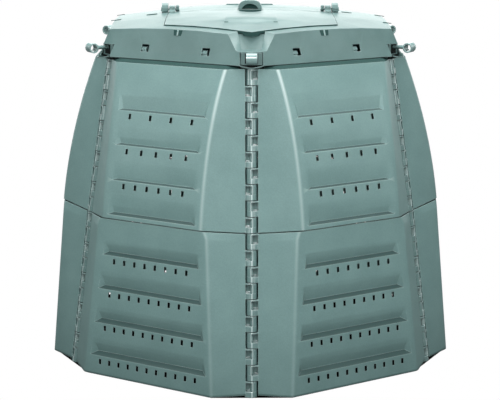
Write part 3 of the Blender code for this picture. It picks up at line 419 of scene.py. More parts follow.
def ring(x, y, radius, count=16):
    return arc(x, y, radius, 0, 360 - 360 / count, count - 1)


def oval(x, y, wide, deep, count):
    angles = [math.tau * i / count for i in range(count)]
    return [(x + wide * math.cos(a), y + deep * math.sin(a)) for a in angles]


def rectangle(half, low, high):
    return [(-half, low), (half, low), (half, high), (-half, high)]


# Knuckles: lower part solid, a window on the attached side that shows the rod, a thin rim on top
knuckle = {
    "radius": 0.0165,
    "root": 0.0208,
    "front": 0.0120,
    "shoulder": 0.008,
    "gap": 0.002,
    "solid": 0.36,
    "rim": 0.91,
    "windowEdge": 0.0012,
    "backWall": -0.0056,
    "hole": 0.0056,
    "perHalf": 10,
    "barrelSteps": 14,
    "hookSteps": 12,
    "crown": 0.003,
    "polished": 0.85,
}

# Places of the panels' materials after the plain one
finish = {"knuckle": 1, "slot": 2, "seam": 3}


def knuckleOutlines():
    r = knuckle["radius"]
    root = -knuckle["root"]
    barrel = arc(0, 0, r, 0, 180, knuckle["barrelSteps"])
    solid = [(knuckle["front"], root), (r, -knuckle["shoulder"]), (r, -knuckle["crown"])]
    solid += barrel + [(-r, root)]
    start = math.degrees(math.asin(knuckle["windowEdge"] / r))
    hook = arc(0, 0, r, start, 180, knuckle["hookSteps"])
    back = knuckle["backWall"]
    windowed = hook + [(-r, root), (back, root), (back, knuckle["windowEdge"])]
    return solid, windowed


def seamPlace(z, mirror):
    turn = mirror * hexagon["halfTurn"]

    def put(p, q):
        reach = seamAxis(z) + p
        x = reach * math.cos(turn) - mirror * q * math.sin(turn)
        return Vector((x, reach * math.sin(turn) + mirror * q * math.cos(turn), z))

    return put


# Painted highlight: a pale vertical line down the crown of each knuckle
def highlightCrowns(bm, faces):
    handled = bm.verts.layers.float["handled"]
    half = knuckle["crown"] / 2
    for face in faces:
        for vert in face.verts:
            mirror = math.copysign(1, vert.co.y)
            turn = mirror * hexagon["halfTurn"]
            p = vert.co.x * math.cos(turn) + vert.co.y * math.sin(turn) - seamAxis(vert.co.z)
            q = mirror * (vert.co.y * math.cos(turn) - vert.co.x * math.sin(turn))
            if p > knuckle["radius"] - half and abs(q) < half:
                vert[handled] = knuckle["polished"]


def addKnuckles(bm, foot, top):
    solid, windowed = knuckleOutlines()
    made = []
    hole = ring(0, 0, knuckle["hole"])
    pitch = (top - foot) / knuckle["perHalf"]
    for i in range(knuckle["perHalf"]):
        low = foot + i * pitch + (knuckle["gap"] / 2 if foot + i > 0 else 0)
        high = foot + (i + 1) * pitch - knuckle["gap"] / 2
        mirror = 1 if i % 2 == 0 else -1
        sill = mixed(low, high, knuckle["solid"])
        lintel = mixed(low, high, knuckle["rim"])
        made += prism(bm, solid, hole, seamPlace(low, mirror), seamPlace(sill, mirror))
        made += prism(bm, windowed, [], seamPlace(sill, mirror), seamPlace(lintel, mirror))
        made += prism(bm, solid, hole, seamPlace(lintel, mirror), seamPlace(high, mirror))
    for face in made:
        face.material_index = finish["knuckle"]
    highlightCrowns(bm, made)


# Panels, drawn flat and pushed out to their face. A louvre is ledge height and half width, apex height and
# half width, floor half width, rise and depth. A row of slots is height, half span and count.
lowerPanel = {
    "foot": 0.006,
    "top": 0.4786,
    "splitRise": 0.0125,
    "faceFoot": 0.634,
    "faceTop": 0.5935,
    "bulge": 0.0,
    "ridgeFoot": 0.2285,
    "ridgeTop": 0.192,
    "ridgeFlare": 0.0,
    "leadIn": 0.469,
    "leadInRidge": 0.1825,
    "louvres": (
        (0.0658, 0.2070, 0.1224, 0.1960, 0.1870, 0.0110, 0.014),
        (0.1690, 0.1950, 0.2203, 0.1860, 0.1770, 0.0110, 0.014),
        (0.2753, 0.1835, 0.3307, 0.1740, 0.1675, 0.0085, 0.014),
        (0.3807, 0.1700, 0.4267, 0.1610, 0.1550, 0.0083, 0.013),
    ),
    "slots": ((0.0477, 0.1703, 11), (0.1538, 0.1556, 10), (0.2590, 0.1420, 9), (0.3630, 0.1280, 8)),
    "ease": 1.5,
    "crease": 0.45,
    "lip": 0.12,
    "handledLow": 0.15,
    "handledHigh": 0.30,
}
upperPanel = {
    "foot": 0.4814,
    "top": 0.950,
    "splitRise": 0.0125,
    "faceFoot": 0.5965,
    "faceTop": 0.482,
    "bulge": 0.0158,
    "ridgeFoot": 0.1725,
    "ridgeTop": 0.1725,
    "ridgeFlare": 0.018,
    "leadIn": None,
    "louvres": (
        (0.5060, 0.1540, 0.5703, 0.1460, 0.1380, 0.0065, 0.010),
        (0.6090, 0.1475, 0.6707, 0.1430, 0.1315, 0.0040, 0.009),
        (0.7130, 0.1460, 0.7696, 0.1480, 0.1330, 0.0040, 0.009),
        (0.8130, 0.1520, 0.8857, 0.1590, 0.1420, 0.0040, 0.009),
    ),
    "slots": ((0.5930, 0.1035, 6), (0.6952, 0.1038, 5), (0.7968, 0.1086, 4)),
    "ease": 1.5,
    "crease": 0.10,
    "lip": 0.30,
    "handledLow": 0.35,
    "handledHigh": 1.0,
}
sheet = {
    "wall": 0.0045,
    "slotWide": 0.0080,
    "slotHigh": 0.0158,
    "slotMargin": (0.0002, 0.0007),
    "levels": 22,
    "floorRows": 8,
    "creaseRow": 0.965,
    "lipWidth": 0.0025,
    "ridgeRound": 0.008,
    "near": 1e-4,
}


def panelCurves(panel):
    if panel is lowerPanel:
        footZ = panel["foot"]
        topZ = panel["top"] + panel["splitRise"]
    else:
        footZ = panel["foot"] + panel["splitRise"]
        topZ = panel["top"]

    def share(z):
        return (z - footZ) / (topZ - footZ)

    def face(z):
        t = share(z)
        return mixed(panel["faceFoot"], panel["faceTop"], t) + panel["bulge"] * 4 * t * (1 - t)

    def ridge(z):
        t = share(z)
        if panel["leadIn"] and z > panel["leadIn"]:
            past = (z - panel["leadIn"]) / (topZ - panel["leadIn"])
            return mixed(panel["ridgeTop"], panel["leadInRidge"], past)
        if panel["leadIn"]:
            return mixed(panel["ridgeFoot"], panel["ridgeTop"], z / panel["leadIn"])
        return panel["ridgeFoot"] + panel["ridgeFlare"] * t ** 4

    return footZ, topZ, share, face, ridge


def drawSides(plane, panel):
    footZ, topZ, share, face, ridge = panelCurves(panel)
    levels = [mixed(footZ, topZ, i / sheet["levels"]) for i in range(sheet["levels"] + 1)]
    if panel["leadIn"]:
        levels = sorted(levels + [panel["leadIn"]])
    sides = []
    for mirror in (-1, 1):
        rows = []
        for z in levels:
            edgeZ = mixed(panel["foot"], panel["top"], share(z))
            out, side = edgePoint(edgeZ, mirror)
            corner = Vector((mirror * ridge(z), z, face(z)))
            seam = Vector((side, edgeZ, out))
            inner = corner - Vector((mirror * sheet["ridgeRound"], 0, 0))
            outer = corner + (seam - corner).normalized() * sheet["ridgeRound"]
            crown = (inner + outer) / 4 + corner / 2  # the ridge is rounded
            rows.append([plane.add(*spot) for spot in (inner, crown, outer, seam)])
        for row in rows:
            plane.line(row)
        for column in zip(*rows):
            plane.line(column)
        sides.append(rows)
    rowsA, rowsB = sides
    plane.outline = rowsA[0][::-1] + rowsB[0] + [row[3] for row in rowsB[1:]]
    plane.outline += rowsB[-1][2::-1] + rowsA[-1][:3] + [row[3] for row in rowsA[:0:-1]]


def drawLouvres(plane, panel, face):
    floorRows = [i / sheet["floorRows"] for i in range(sheet["floorRows"])] + [sheet["creaseRow"], 1.0]
    for z0, half0, z1, half1, inner, rise, depth in panel["louvres"]:
        left = []
        right = []
        for t in floorRows:
            sideZ = mixed(z1, z0, t)
            floorZ = mixed(z1, z0 + rise, t)
            sink = depth * t ** panel["ease"]
            sideU = mixed(half1, half0, t)
            floorU = mixed(half1, inner, t)
            row = []
            for u in (-sideU, -floorU, floorU, sideU):
                onFloor = abs(u) == floorU and t > 0
                z = floorZ if onFloor else sideZ
                row.append(plane.add(u, z, face(z) - (sink if onFloor else 0)))
            plane.line(row)
            left.append(row[:2])
            right.append(row[2:])
        for k in (0, 1):
            plane.line([pair[k] for pair in left])
            plane.line([pair[k] for pair in right])
        plane.line([left[-1][0], right[-1][1]])
        lipZ = z0 - sheet["lipWidth"]
        plane.line([plane.add(u, lipZ, face(lipZ)) for u in (-half0, half0)])


def slotPlaces(panel):
    for z, span, count in panel["slots"]:
        for i in range(count):
            yield -span + 2 * span * i / (count - 1), z


def drawSlots(plane, panel, face):
    for u, z in slotPlaces(panel):
        hole = []
        for du, dz in ((-0.5, -0.5), (0.5, -0.5), (0.5, 0.5), (-0.5, 0.5)):
            cornerZ = z + dz * sheet["slotHigh"]
            hole.append(plane.add(u + du * sheet["slotWide"], cornerZ, face(cornerZ)))
        plane.holes.append(hole)


# Painted highlight: marks on the rounded ridges, rising towards the top, and along the louvres' lips and
# creases
def highlightPanel(bm, panel):
    footZ, topZ, share, face, ridge = panelCurves(panel)
    handled = bm.verts.layers.float.new("handled")
    crest = sheet["ridgeRound"] / 2
    near = sheet["near"]
    for vert in bm.verts:
        z = vert.co.z
        across = abs(vert.co.y)
        if abs(across - ridge(z)) < crest and face(z) - vert.co.x < crest:
            vert[handled] = mixed(panel["handledLow"], panel["handledHigh"], share(z) ** 3)
        for z0, half0, z1, half1, inner, rise, depth in panel["louvres"]:
            if abs(z - z0) < near and abs(across - half0) < near:
                vert[handled] = panel["lip"]  # edges round the louvres catch the light
            if abs(z - z0 - rise) < near and abs(across - inner) < near:
                vert[handled] = panel["crease"]


def panelSheet(bm, panel):
    footZ, topZ, share, face, ridge = panelCurves(panel)
    plane = Plane()
    drawSides(plane, panel)
    drawLouvres(plane, panel, face)
    drawSlots(plane, panel, face)
    plane.mesh(bm, lambda u, z, out: Vector((out, u, z)))
    highlightPanel(bm, panel)
    return ridge(topZ)


def sideFlanges(bm):
    dx = hexagon["flange"] * math.cos(hexagon["halfTurn"])
    dy = hexagon["flange"] * math.sin(hexagon["halfTurn"])
    corners = {}
    for mirror in (-1, 1):
        edge = [v for v in bm.verts if onEdge(v, mirror)]
        edge.sort(key=lambda v: v.co.z)
        back = [bm.verts.new(v.co - Vector((dx, mirror * dy, 0))) for v in edge]
        for i in range(len(edge) - 1):
            bm.faces.new([edge[i], back[i], back[i + 1], edge[i + 1]])
        corners[mirror] = (edge[-1], back[-1])
    return corners


def onEdge(vert, mirror):
    out, side = edgePoint(vert.co.z, mirror)
    near = sheet["near"] / 10
    return abs(vert.co.x - out) < near and abs(vert.co.y - side) < near


# Shoulder of an upper panel under the lid, and the tongues that snap into the skirt's windows
shoulder = {
    "z": 0.959,
    "out": 0.468,
    "in": 0.440,
    "bendStep": 0.0065,
    "tailStep": 0.0145,
    "dusty": 0.0005,
}
tongue = {
    "u": 0.106,
    "shift": 0.0045,
    "half": 0.0075,
    "gap": 0.0010,
    "thick": 0.004,
    "foot": 0.9555,
    "neck": 0.985,
    "barb": 0.988,
    "barbOut": 0.0042,
    "tip": 0.996,
    "tipOut": 0.0015,
    "tipBack": 0.997,
}
lid = {
    "rimRadius": 0.497,
    "top": 1.0803,
    "drop": 0.0393,
    "power": 2.3,
    "skirtFoot": 0.9610,
    "skirtApothem": 0.4640,
    "skirtSlope": 0.417,
    "wall": 0.004,
}


def skirtApothem(z):
    return lid["skirtApothem"] - (z - lid["skirtFoot"]) * lid["skirtSlope"]


def addShoulder(bm, corners, half):
    rows = {}
    for mirror in (-1, 1):
        spot = Vector((upperPanel["faceTop"], mirror * half, upperPanel["top"]))
        rim = min(bm.verts, key=lambda v: (v.co - spot).length)
        bend = bm.verts.new((shoulder["out"], mirror * (half - shoulder["bendStep"]), shoulder["z"]))
        tail = bm.verts.new((shoulder["in"], mirror * (half - shoulder["tailStep"]), shoulder["z"]))
        edge, back = corners[mirror]
        bm.faces.new([rim, edge, bend])
        bm.faces.new([edge, back, bend])
        bm.faces.new([bend, back, tail])
        rows[mirror] = (rim, bend, tail)
    a, b = rows[-1], rows[1]
    bm.faces.new([a[0], b[0], b[1], a[1]])
    bm.faces.new([a[1], b[1], b[2], a[2]])


def addTongues(bm):
    inner = lid["wall"] * math.hypot(1.0, lid["skirtSlope"]) + tongue["gap"]
    back = -tongue["thick"]
    steps = [(tongue["foot"], back), (tongue["foot"], 0), (tongue["neck"], 0)]
    steps += [(tongue["barb"], tongue["barbOut"]), (tongue["tip"], tongue["tipOut"])]
    steps += [(tongue["tipBack"], back)]
    profile = [(skirtApothem(z) - inner + step, z) for z, step in steps]
    for u in (-tongue["u"] - tongue["shift"], tongue["u"] - tongue["shift"]):
        a = u - tongue["half"]
        b = u + tongue["half"]
        prism(bm, profile, [], lambda x, z: Vector((x, b, z)), lambda x, z: Vector((x, a, z)))


# Painted shade: the slot walls take the near black material
def shadeSlots(bm, panel):
    wide = sheet["slotWide"] / 2 + sheet["slotMargin"][0]
    high = sheet["slotHigh"] / 2 + sheet["slotMargin"][1]
    for u, z in slotPlaces(panel):
        for face in bm.faces:
            spot = face.calc_center_median()
            if abs(spot.y - u) < wide and abs(spot.z - z) < high:
                face.material_index = finish["slot"]


def buildPanel(name, panel):
    bm = bmesh.new()
    half = panelSheet(bm, panel)
    corners = sideFlanges(bm)
    if panel is upperPanel:
        addShoulder(bm, corners, half)
    bmesh.ops.recalc_face_normals(bm, faces=bm.faces)
    mesh = bpy.data.meshes.new(name)
    bm.to_mesh(mesh)
    bm.free()
    obj = bpy.data.objects.new(name, mesh)
    scene.collection.objects.link(obj)
    thick = obj.modifiers.new("Wall", "SOLIDIFY")
    thick.thickness = sheet["wall"]
    thick.offset = -1.0
    thick.use_even_offset = True
    solid = bpy.data.meshes.new_from_object(obj.evaluated_get(bpy.context.evaluated_depsgraph_get()))
    obj.modifiers.clear()
    bm = bmesh.new()
    bm.from_mesh(solid)
    shadeSlots(bm, panel)
    # Painted shade: faces above the panel's top, on the shoulder under the skirt, take the dark seam
    # material
    for face in bm.faces:
        if face.calc_center_median().z > upperPanel["top"] + shoulder["dusty"]:
            face.material_index = finish["seam"]
    if panel is lowerPanel:
        addKnuckles(bm, 0.0, hexagon["split"])
    else:
        addKnuckles(bm, hexagon["split"], hexagon["top"])
        addTongues(bm)
    bm.to_mesh(solid)
    bm.free()
    obj.data = solid
    bpy.data.meshes.remove(mesh)
    return obj


def roofZ(x, y):
    return lid["top"] - lid["drop"] * (math.hypot(x, y) / lid["rimRadius"]) ** lid["power"]


# Edges that turn more than this many degrees stay crisp
crisp = {"panel": 28, "roof": 11, "scoop": 24, "grip": 24, "pin": 40, "detail": 30}


def finishPiece(obj, materials, sharpAngle, node, body):
    places = [face.material_index for face in obj.data.polygons]
    obj.data.materials.clear()
    for material in materials:
        obj.data.materials.append(material)
    for face, place in zip(obj.data.polygons, places):
        face.material_index = min(place, len(materials) - 1)
        face.use_smooth = True
    obj.data.set_sharp_from_angle(angle=math.radians(sharpAngle))
    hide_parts(node)
    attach(obj, body)


# Painted highlight on the ridges: strongest beside the front seam and fainter further round: all in degrees
seamHighlight = {"near": 5, "far": 15, "front": 25, "fade": 15, "least": 0.15}
for label, panel in (("lower", lowerPanel), ("upper", upperPanel)):
    first = buildPanel(f"{label}PanelDressed1", panel)
    rest = first.data.copy()
    for k in range(hexagon["sides"]):
        if k == 0:
            piece = first
        else:
            piece = bpy.data.objects.new(f"{label}PanelDressed{k + 1}", rest.copy())
            scene.collection.objects.link(piece)
        piece.data.transform(turnTo(k, hexagon["firstSide"]))
        for vert, worn in zip(piece.data.vertices, piece.data.attributes["handled"].data):
            away = abs(math.degrees(math.atan2(vert.co.x, -vert.co.y)))
            fromSeam = abs(away - hexagon["turn"] * round(away / hexagon["turn"]))
            if seamHighlight["near"] < fromSeam < seamHighlight["far"]:
                fade = clamped((away - seamHighlight["front"]) / seamHighlight["fade"])
                worn.value *= mixed(1.0, seamHighlight["least"], fade)
        materials = (panelMaterial, knuckleMaterial, paintedShadeMaterial, dustAndShadeMaterial)
        finishPiece(piece, materials, crisp["panel"], f"{label}_panel_{k + 1}", "bin")
print("panels dressed")


def refine(node, material, sharpAngle):
    source = frame["nodes"][node]
    mesh = source.data.copy()
    bm = bmesh.new()
    bm.from_mesh(mesh)
    bmesh.ops.remove_doubles(bm, verts=bm.verts, dist=sheet["near"] / 5)
    bm.to_mesh(mesh)
    bm.free()
    words = node.split("_")
    obj = bpy.data.objects.new(words[0] + "".join(w.capitalize() for w in words[1:]), mesh)
    scene.collection.objects.link(obj)
    finishPiece(obj, (material,), sharpAngle, node, source["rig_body"])
    return obj


# Flaps: a little proud of the lid, with painted shade in the seam round them, in the dish and against the
# pad
flap = {
    "proud": 0.0032,
    "skin": 0.0025,
    "near": 0.001,
    "rise": (0.05, 0.14),
    "sideX": 0.260,
    "rearY": 0.021,
    "tipY": 0.4533,
    "seam": 0.003,
    "dish": (0.039, 0.034, 0.118),
    "dishDeep": 0.0016,
    "padNear": (0.189, 0.195),
    "padSlope": (0.5, 0.95),
    "steep": 0.5,
    "frameDust": (0.0095, 0.0012),
    "frameUnder": -0.3,
}


def tipReach(x, y):
    return abs(y) + math.tan(hexagon["halfTurn"]) * abs(x)


def raiseFlap(mesh):
    low, high = flap["rise"]
    for vert in mesh.vertices:
        x, y, z = vert.co
        over = z - roofZ(x, y)
        if -flap["skin"] < over < flap["skin"] + flap["near"]:
            vert.co.z += flap["proud"] * clamped((abs(y) - low) / (high - low))


# Painted shade on the flap's edge faces, in the dish and against the pad
def shadeFlapEdges(mesh):
    dishX, dishNear, dishFar = flap["dish"]
    padNear, padFar = flap["padNear"]
    padSteep, padFlat = flap["padSlope"]
    for face in mesh.polygons:
        x, y, z = face.center
        level = face.normal.z
        sunk = z < roofZ(x, y) - flap["dishDeep"]
        atSide = abs(abs(x) - flap["sideX"]) < flap["near"]
        atTip = abs(tipReach(x, y) - flap["tipY"]) < flap["near"]
        inDish = abs(x) < dishX and dishNear < abs(y) < dishFar and sunk and level > -flap["steep"]
        atPad = padNear < y < padFar and padSteep < level < padFlat
        if abs(level) < flap["steep"] and (atSide or atTip) or inDish or atPad:
            face.material_index = 1


# Painted shade on the frame round the flap openings, just under the roof
def shadeFrameOpening(mesh):
    reach = flap["seam"] + flap["near"]
    deepest, highest = flap["frameDust"]
    for face in mesh.polygons:
        x, y, z = face.center
        under = roofZ(x, y) - z
        inOpening = abs(x) < flap["sideX"] + reach and abs(y) > flap["rearY"] - flap["seam"]
        inOpening = inOpening and tipReach(x, y) < flap["tipY"] + reach
        if inOpening and highest < under < deepest and face.normal.z > flap["frameUnder"]:
            face.material_index = 1


# Finger scoops in the lid frame: moulded in one sweep, so their facets are smoothed
scoop = {"halfX": 0.075, "back": 0.40, "low": 0.995}


def softenScoop(mesh):
    bm = bmesh.new()
    bm.from_mesh(mesh)
    for edge in bm.edges:
        spot = (edge.verts[0].co + edge.verts[1].co) / 2
        inScoop = abs(spot.x) < scoop["halfX"] and abs(spot.y) > scoop["back"] and spot.z > scoop["low"]
        if inScoop and edge.calc_face_angle(0) < math.radians(crisp["scoop"]):
            edge.smooth = True
    bm.to_mesh(mesh)
    bm.free()


lidFrame = refine("lid_frame", lidMaterial, crisp["roof"])
softenScoop(lidFrame.data)
lidFrame.data.materials.append(dustAndShadeMaterial)
shadeFrameOpening(lidFrame.data)
for name in ("front_flap", "rear_flap"):
    piece = refine(name, lidMaterial, crisp["roof"])
    piece.data.materials.append(dustAndShadeMaterial)
    shadeFlapEdges(piece.data)
    raiseFlap(piece.data)
refine("centre_grip", lidMaterial, crisp["grip"])
for k in range(hexagon["sides"]):
    refine(f"locking_pin_{k + 1}", rodMaterial, crisp["pin"])
print("lid and pins refined")


def addPiece(name, bm, material, body):
    mesh = bpy.data.meshes.new(name)
    bm.to_mesh(mesh)
    bm.free()
    mesh.materials.append(material)
    for face in mesh.polygons:
        face.use_smooth = True
    mesh.set_sharp_from_angle(angle=math.radians(crisp["detail"]))
    obj = bpy.data.objects.new(name, mesh)
    scene.collection.objects.link(obj)
    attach(obj, body)


def turned(turn):
    return lambda x, y, z: turn @ Vector((x, y, z))


def addUpright(name, at, outline, hole, back, front, material):
    bm = bmesh.new()
    prism(bm, outline, hole, lambda y, z: at(back, y, z), lambda y, z: at(front, y, z))
    addPiece(name, bm, material, "bin")


rooted = 0.0005  # what stands on the roof starts this far under its surface


def addOnRoof(name, outline, sign, lift, height, material, body):
    bm = bmesh.new()
    prism(
        bm, outline, [], lambda x, y: Vector((sign[0] * x, sign[1] * y, roofZ(x, y) + lift - rooted)),
        lambda x, y: Vector((sign[0] * x, sign[1] * y, roofZ(x, y) + lift + height)),
    )
    addPiece(name, bm, material, body)


# Corners of the skirt: a strap hangs across each window, and a guide plate holds the locking pin; near
# black sheets behind the plate and across the gap are painted shade
corner = {
    "strapHalf": 0.037,
    "strapRadius": 0.5385,
    "strapRound": 0.008,
    "strapEnds": 0.9630,
    "strapMiddle": 0.9565,
    "strapHeight": 0.0036,
    "strapThick": 0.003,
    "strapSteps": 16,
    "plate": (0.5032, 0.5046),
    "plateHalf": 0.0312,
    "plateLow": 0.9620,
    "plateHigh": 0.9965,
    "pinZ": 0.987,
    "pinHole": 0.0085,
    "shadeHalf": 0.0188,
    "shadeLow": 0.9665,
    "shadeHigh": 0.9955,
    "shadeStep": 0.0004,
    "gap": (0.5020, 0.5030),
    "gapHalf": 0.036,
    "gapLow": 0.9515,
    "gapHigh": 0.9640,
}


def addStrap(bm, at):
    steps = corner["strapSteps"]
    rings = []
    for i in range(steps + 1):
        t = 2 * i / steps - 1
        side = t * corner["strapHalf"]
        away = math.hypot(side, corner["strapRound"]) - corner["strapRound"]
        back = math.tan(hexagon["halfTurn"]) * away
        out = corner["strapRadius"] - back
        z = mixed(corner["strapMiddle"], corner["strapEnds"], t * t)
        low, high = z - corner["strapHeight"] / 2, z + corner["strapHeight"] / 2
        inner = out - corner["strapThick"]
        section = ((out, low), (out, high), (inner, high), (inner, low))
        rings.append([bm.verts.new(at(x, side, zz)) for x, zz in section])
    for a, b in zip(rings, rings[1:]):
        for j in range(len(a)):
            after = (j + 1) % len(a)
            bm.faces.new([a[j], a[after], b[after], b[j]])
    bm.faces.new(rings[0])
    bm.faces.new(rings[-1][::-1])
    bmesh.ops.recalc_face_normals(bm, faces=bm.faces)


plateBack, plateFront = corner["plate"]
gapBack, gapFront = corner["gap"]
pinHole = ring(0, corner["pinZ"], corner["pinHole"])
plateOutline = rectangle(corner["plateHalf"], corner["plateLow"], corner["plateHigh"])
shadeOutline = rectangle(corner["shadeHalf"], corner["shadeLow"], corner["shadeHigh"])
gapOutline = rectangle(corner["gapHalf"], corner["gapLow"], corner["gapHigh"])
for k in range(hexagon["sides"]):
    at = turned(turnTo(k, hexagon["firstCorner"]))
    bm = bmesh.new()
    addStrap(bm, at)
    addPiece(f"cornerStrap{k + 1}", bm, lidMaterial, "bin")
    shadeFront = plateFront + corner["shadeStep"]
    addUpright(f"guidePlate{k + 1}", at, plateOutline, pinHole, plateBack, plateFront, lidMaterial)
    addUpright(f"guideShade{k + 1}", at, shadeOutline, pinHole, plateFront, shadeFront, paintedShadeMaterial)
    addUpright(f"cornerShade{k + 1}", at, gapOutline, [], gapBack, gapFront, paintedShadeMaterial)

# Rim catch in the middle of each side of the skirt: a dark trapezoid with a light tab
catch = {
    "topHalf": 0.0155,
    "footHalf": 0.0120,
    "high": 1.0500,
    "low": 1.0340,
    "proud": 0.0007,
    "tabHalf": 0.0025,
    "tabProud": 0.00175,
}
rimApothem = lid["rimRadius"] * math.cos(hexagon["halfTurn"])
rimMiddle = lid["top"] - lid["drop"] * math.cos(hexagon["halfTurn"]) ** lid["power"]


def middleApothem(z):
    share = (z - lid["skirtFoot"]) / (rimMiddle - lid["skirtFoot"])
    return mixed(lid["skirtApothem"], rimApothem, share)


for k in range(hexagon["sides"]):
    at = turned(turnTo(k, hexagon["firstSide"]))
    for name, top, foot, proud, material in (
        ("rimCatch", catch["topHalf"], catch["footHalf"], catch["proud"], dustAndShadeMaterial),
        ("rimTab", catch["tabHalf"], catch["tabHalf"], catch["tabProud"], rodMaterial),
    ):
        outline = [(-foot, catch["low"]), (foot, catch["low"])]
        outline += [(top, catch["high"]), (-top, catch["high"])]
        bm = bmesh.new()
        prism(
            bm, outline, [], lambda u, z: at(middleApothem(z) - catch["proud"], u, z),
            lambda u, z: at(middleApothem(z) + proud, u, z),
        )
        addPiece(f"{name}{k + 1}", bm, material, "bin")

# Roof marks at both ends: two short ribs near the rim and a drain lens
roofMark = {
    "ribs": ((-0.441, -0.409, -0.073), (-0.441, -0.415, 0.143)),
    "ribHalf": 0.0013,
    "ribHeight": 0.0014,
    "lens": (-0.314, -0.034, 0.0175, 0.0110),
    "lensHeight": 0.0008,
    "lensSteps": 24,
}
for name, sign in (("Left", (1, 1)), ("Right", (-1, -1))):
    for i, (x0, x1, y) in enumerate(roofMark["ribs"]):
        half = roofMark["ribHalf"]
        outline = [(x0, y - half), (x1, y - half), (x1, y + half), (x0, y + half)]
        addOnRoof(f"roofRib{name}{i + 1}", outline, sign, 0, roofMark["ribHeight"], dustAndShadeMaterial, "bin")
    outline = oval(*roofMark["lens"], roofMark["lensSteps"])
    addOnRoof(f"roofLens{name}", outline, sign, 0, roofMark["lensHeight"], dustAndShadeMaterial, "bin")

# Grip: a web stands in the middle of the opening, so that fingers reach in from both sides; its dark colour
# is painted shade where the opening looks into the dark
web = {"half": 0.0255, "height": 0.0175, "thick": 0.0012, "foot": 1.0806, "steps": 16}
angles = [math.pi * i / web["steps"] for i in range(web["steps"] + 1)]
outline = [(web["half"] * math.cos(a), web["foot"] + web["height"] * math.sin(a)) for a in angles]
bm = bmesh.new()
prism(
    bm, outline, [], lambda x, z: Vector((x, -web["thick"], z)),
    lambda x, z: Vector((x, web["thick"], z)),
)
addPiece("gripWeb", bm, dustAndShadeMaterial, "bin")

# Drain notches at the front corners of each flap's pad
notch = {"x": 0.0740, "y": 0.3165, "halfX": 0.0060, "halfY": 0.0035, "height": 0.0006}
for body, sign in (("front_flap_body", -1), ("rear_flap_body", 1)):
    for side in (-1, 1):
        outline = []
        for dx, dy in ((-1, -1), (1, -1), (1, 1), (-1, 1)):
            outline.append((side * notch["x"] + dx * notch["halfX"], notch["y"] + dy * notch["halfY"]))
        name = "drainNotch" + body.split("_")[0].capitalize() + ("Left" if side < 0 else "Right")
        addOnRoof(name, outline, (1, sign), flap["proud"], notch["height"], dustAndShadeMaterial, body)
print("lid details added")

for name, node in frame["nodes"].items():
    node.data.materials.clear()
    if "panel" in name:
        node.data.materials.append(panelMaterial)
    elif "rod" in name or "pin" in name:
        node.data.materials.append(rodMaterial)
    else:
        node.data.materials.append(lidMaterial)
    for face in node.data.polygons:
        face.use_smooth = False
print("frame pieces coloured")

# Floor that the camera sees as plain white
sweep = {"size": 30.0, "grey": 0.16}
bpy.ops.mesh.primitive_plane_add(size=sweep["size"], location=(0, 0, 0))
floor = bpy.context.object
floor.name = "floor"
floorMat, tree = emptyMaterial("white sweep")
seen = addNode(tree, "LightPath")
paper = addNode(tree, "BsdfDiffuse", {"Color": (sweep["grey"], sweep["grey"], sweep["grey"], 1)})
white = addNode(tree, "Emission", {"Color": (1, 1, 1, 1), "Strength": 1.0})
mix = addNode(tree, "MixShader", {
    "Fac": seen.outputs["Is Camera Ray"],
    1: paper.outputs["BSDF"],
    2: white.outputs["Emission"],
})
addNode(tree, "OutputMaterial", {"Surface": mix.outputs["Shader"]})
floor.data.materials.append(floorMat)

# Painted shade: a dark sheet on the ground inside the bin, so that the slots look into the dark
ground = {"inset": 0.006, "half": 0.222, "z": 0.001, "colour": "161a18"}
reach = lowerPanel["faceFoot"] - sheet["wall"] - ground["inset"]
bm = bmesh.new()
rim = []
for k in range(hexagon["sides"]):
    for side in (-1, 1):
        spot = Vector((reach, side * ground["half"], ground["z"]))
        rim.append(bm.verts.new(turnTo(k, hexagon["firstSide"]) @ spot))
bm.faces.new(rim)
mesh = bpy.data.meshes.new("shadedGround")
bm.to_mesh(mesh)
bm.free()
shadedGround = bpy.data.objects.new("shadedGround", mesh)
scene.collection.objects.link(shadedGround)
groundMat, tree = emptyMaterial("dark earth in the shade")
paintedShade = addNode(tree, "BsdfDiffuse", {"Color": linear(ground["colour"])})
addNode(tree, "OutputMaterial", {"Surface": paintedShade.outputs["BSDF"]})
mesh.materials.append(groundMat)

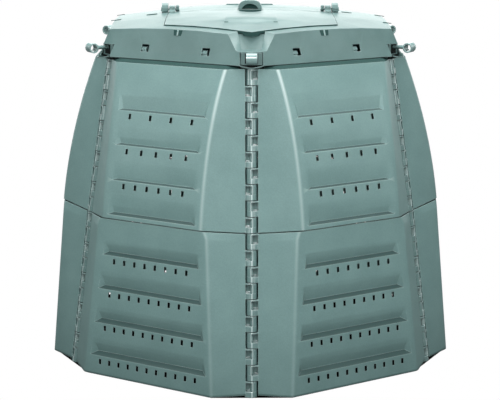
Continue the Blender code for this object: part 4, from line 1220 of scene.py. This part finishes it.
# Studio light: a ceiling box, fills and strips in front, a card behind and a pale surround
surround = {"seen": 1.0, "light": 0.20}
world = bpy.data.worlds.new("studio")
scene.world = world
world.use_nodes = True
sky = world.node_tree.nodes["Background"]
sky.inputs["Color"].default_value = (1.0, 1.0, 1.0, 1)
seen = addNode(world.node_tree, "LightPath")
glow = addNode(world.node_tree, "MapRange", {
    "Value": seen.outputs["Is Camera Ray"],
    "To Min": surround["light"],
    "To Max": surround["seen"],
})
world.node_tree.links.new(glow.outputs["Result"], sky.inputs["Strength"])


def areaLight(name, size, power, place, target):
    data = bpy.data.lights.new(name, "AREA")
    data.shape = "RECTANGLE"
    data.size, data.size_y = size
    data.energy = power
    lamp = bpy.data.objects.new(name, data)
    scene.collection.objects.link(lamp)
    lamp.location = place
    lamp.rotation_euler = (Vector(target) - Vector(place)).to_track_quat("-Z", "Y").to_euler()


# Each lamp: size, power in watts, place, and the point that it faces
lamps = {
    "ceiling box": ((2.6, 2.2), 95, (0, 0.2, 2.7), (0, 0, 0.8)),
    "front fill": ((3.2, 1.0), 13, (0.45, -2.3, 2.4), (0, 0, 0.7)),
    "front strip": ((0.35, 0.9), 18, (0, -2.4, 2.0), (0, 0, 0.8)),
    "left strip": ((0.30, 1.4), 7, (-0.55, -2.75, 0.95), (0, 0, 0.8)),
    "right strip": ((0.30, 1.4), 7, (0.55, -2.75, 0.95), (0, 0, 0.8)),
    "left fill": ((0.9, 1.2), 15, (-2.4, -1.7, 1.5), (0, 0, 0.8)),
    "right fill": ((0.9, 1.2), 13, (2.4, -1.7, 1.5), (0, 0, 0.8)),
    "back card": ((12.0, 2.4), 225, (0, 4.2, 1.5), (0, 0, 1.0)),
}
for name, setting in lamps.items():
    areaLight(name, *setting)
print("light set")

# Camera from the photograph's perspective: turns are in radians, lens and sensor in millimetres
view = {
    "place": (-0.0383, -4.4486, 1.4544),
    "down": 0.2222,
    "right": 0.0086,
    "lens": 98.77,
    "sensor": 36.0,
}
camera = bpy.data.objects.new("camera", bpy.data.cameras.new("camera"))
scene.collection.objects.link(camera)
camera.location = view["place"]
camera.rotation_euler = (math.pi / 2 - view["down"], 0, -view["right"])
camera.data.lens = view["lens"]
camera.data.sensor_width = view["sensor"]
scene.camera = camera
scene.view_settings.view_transform = "Standard"
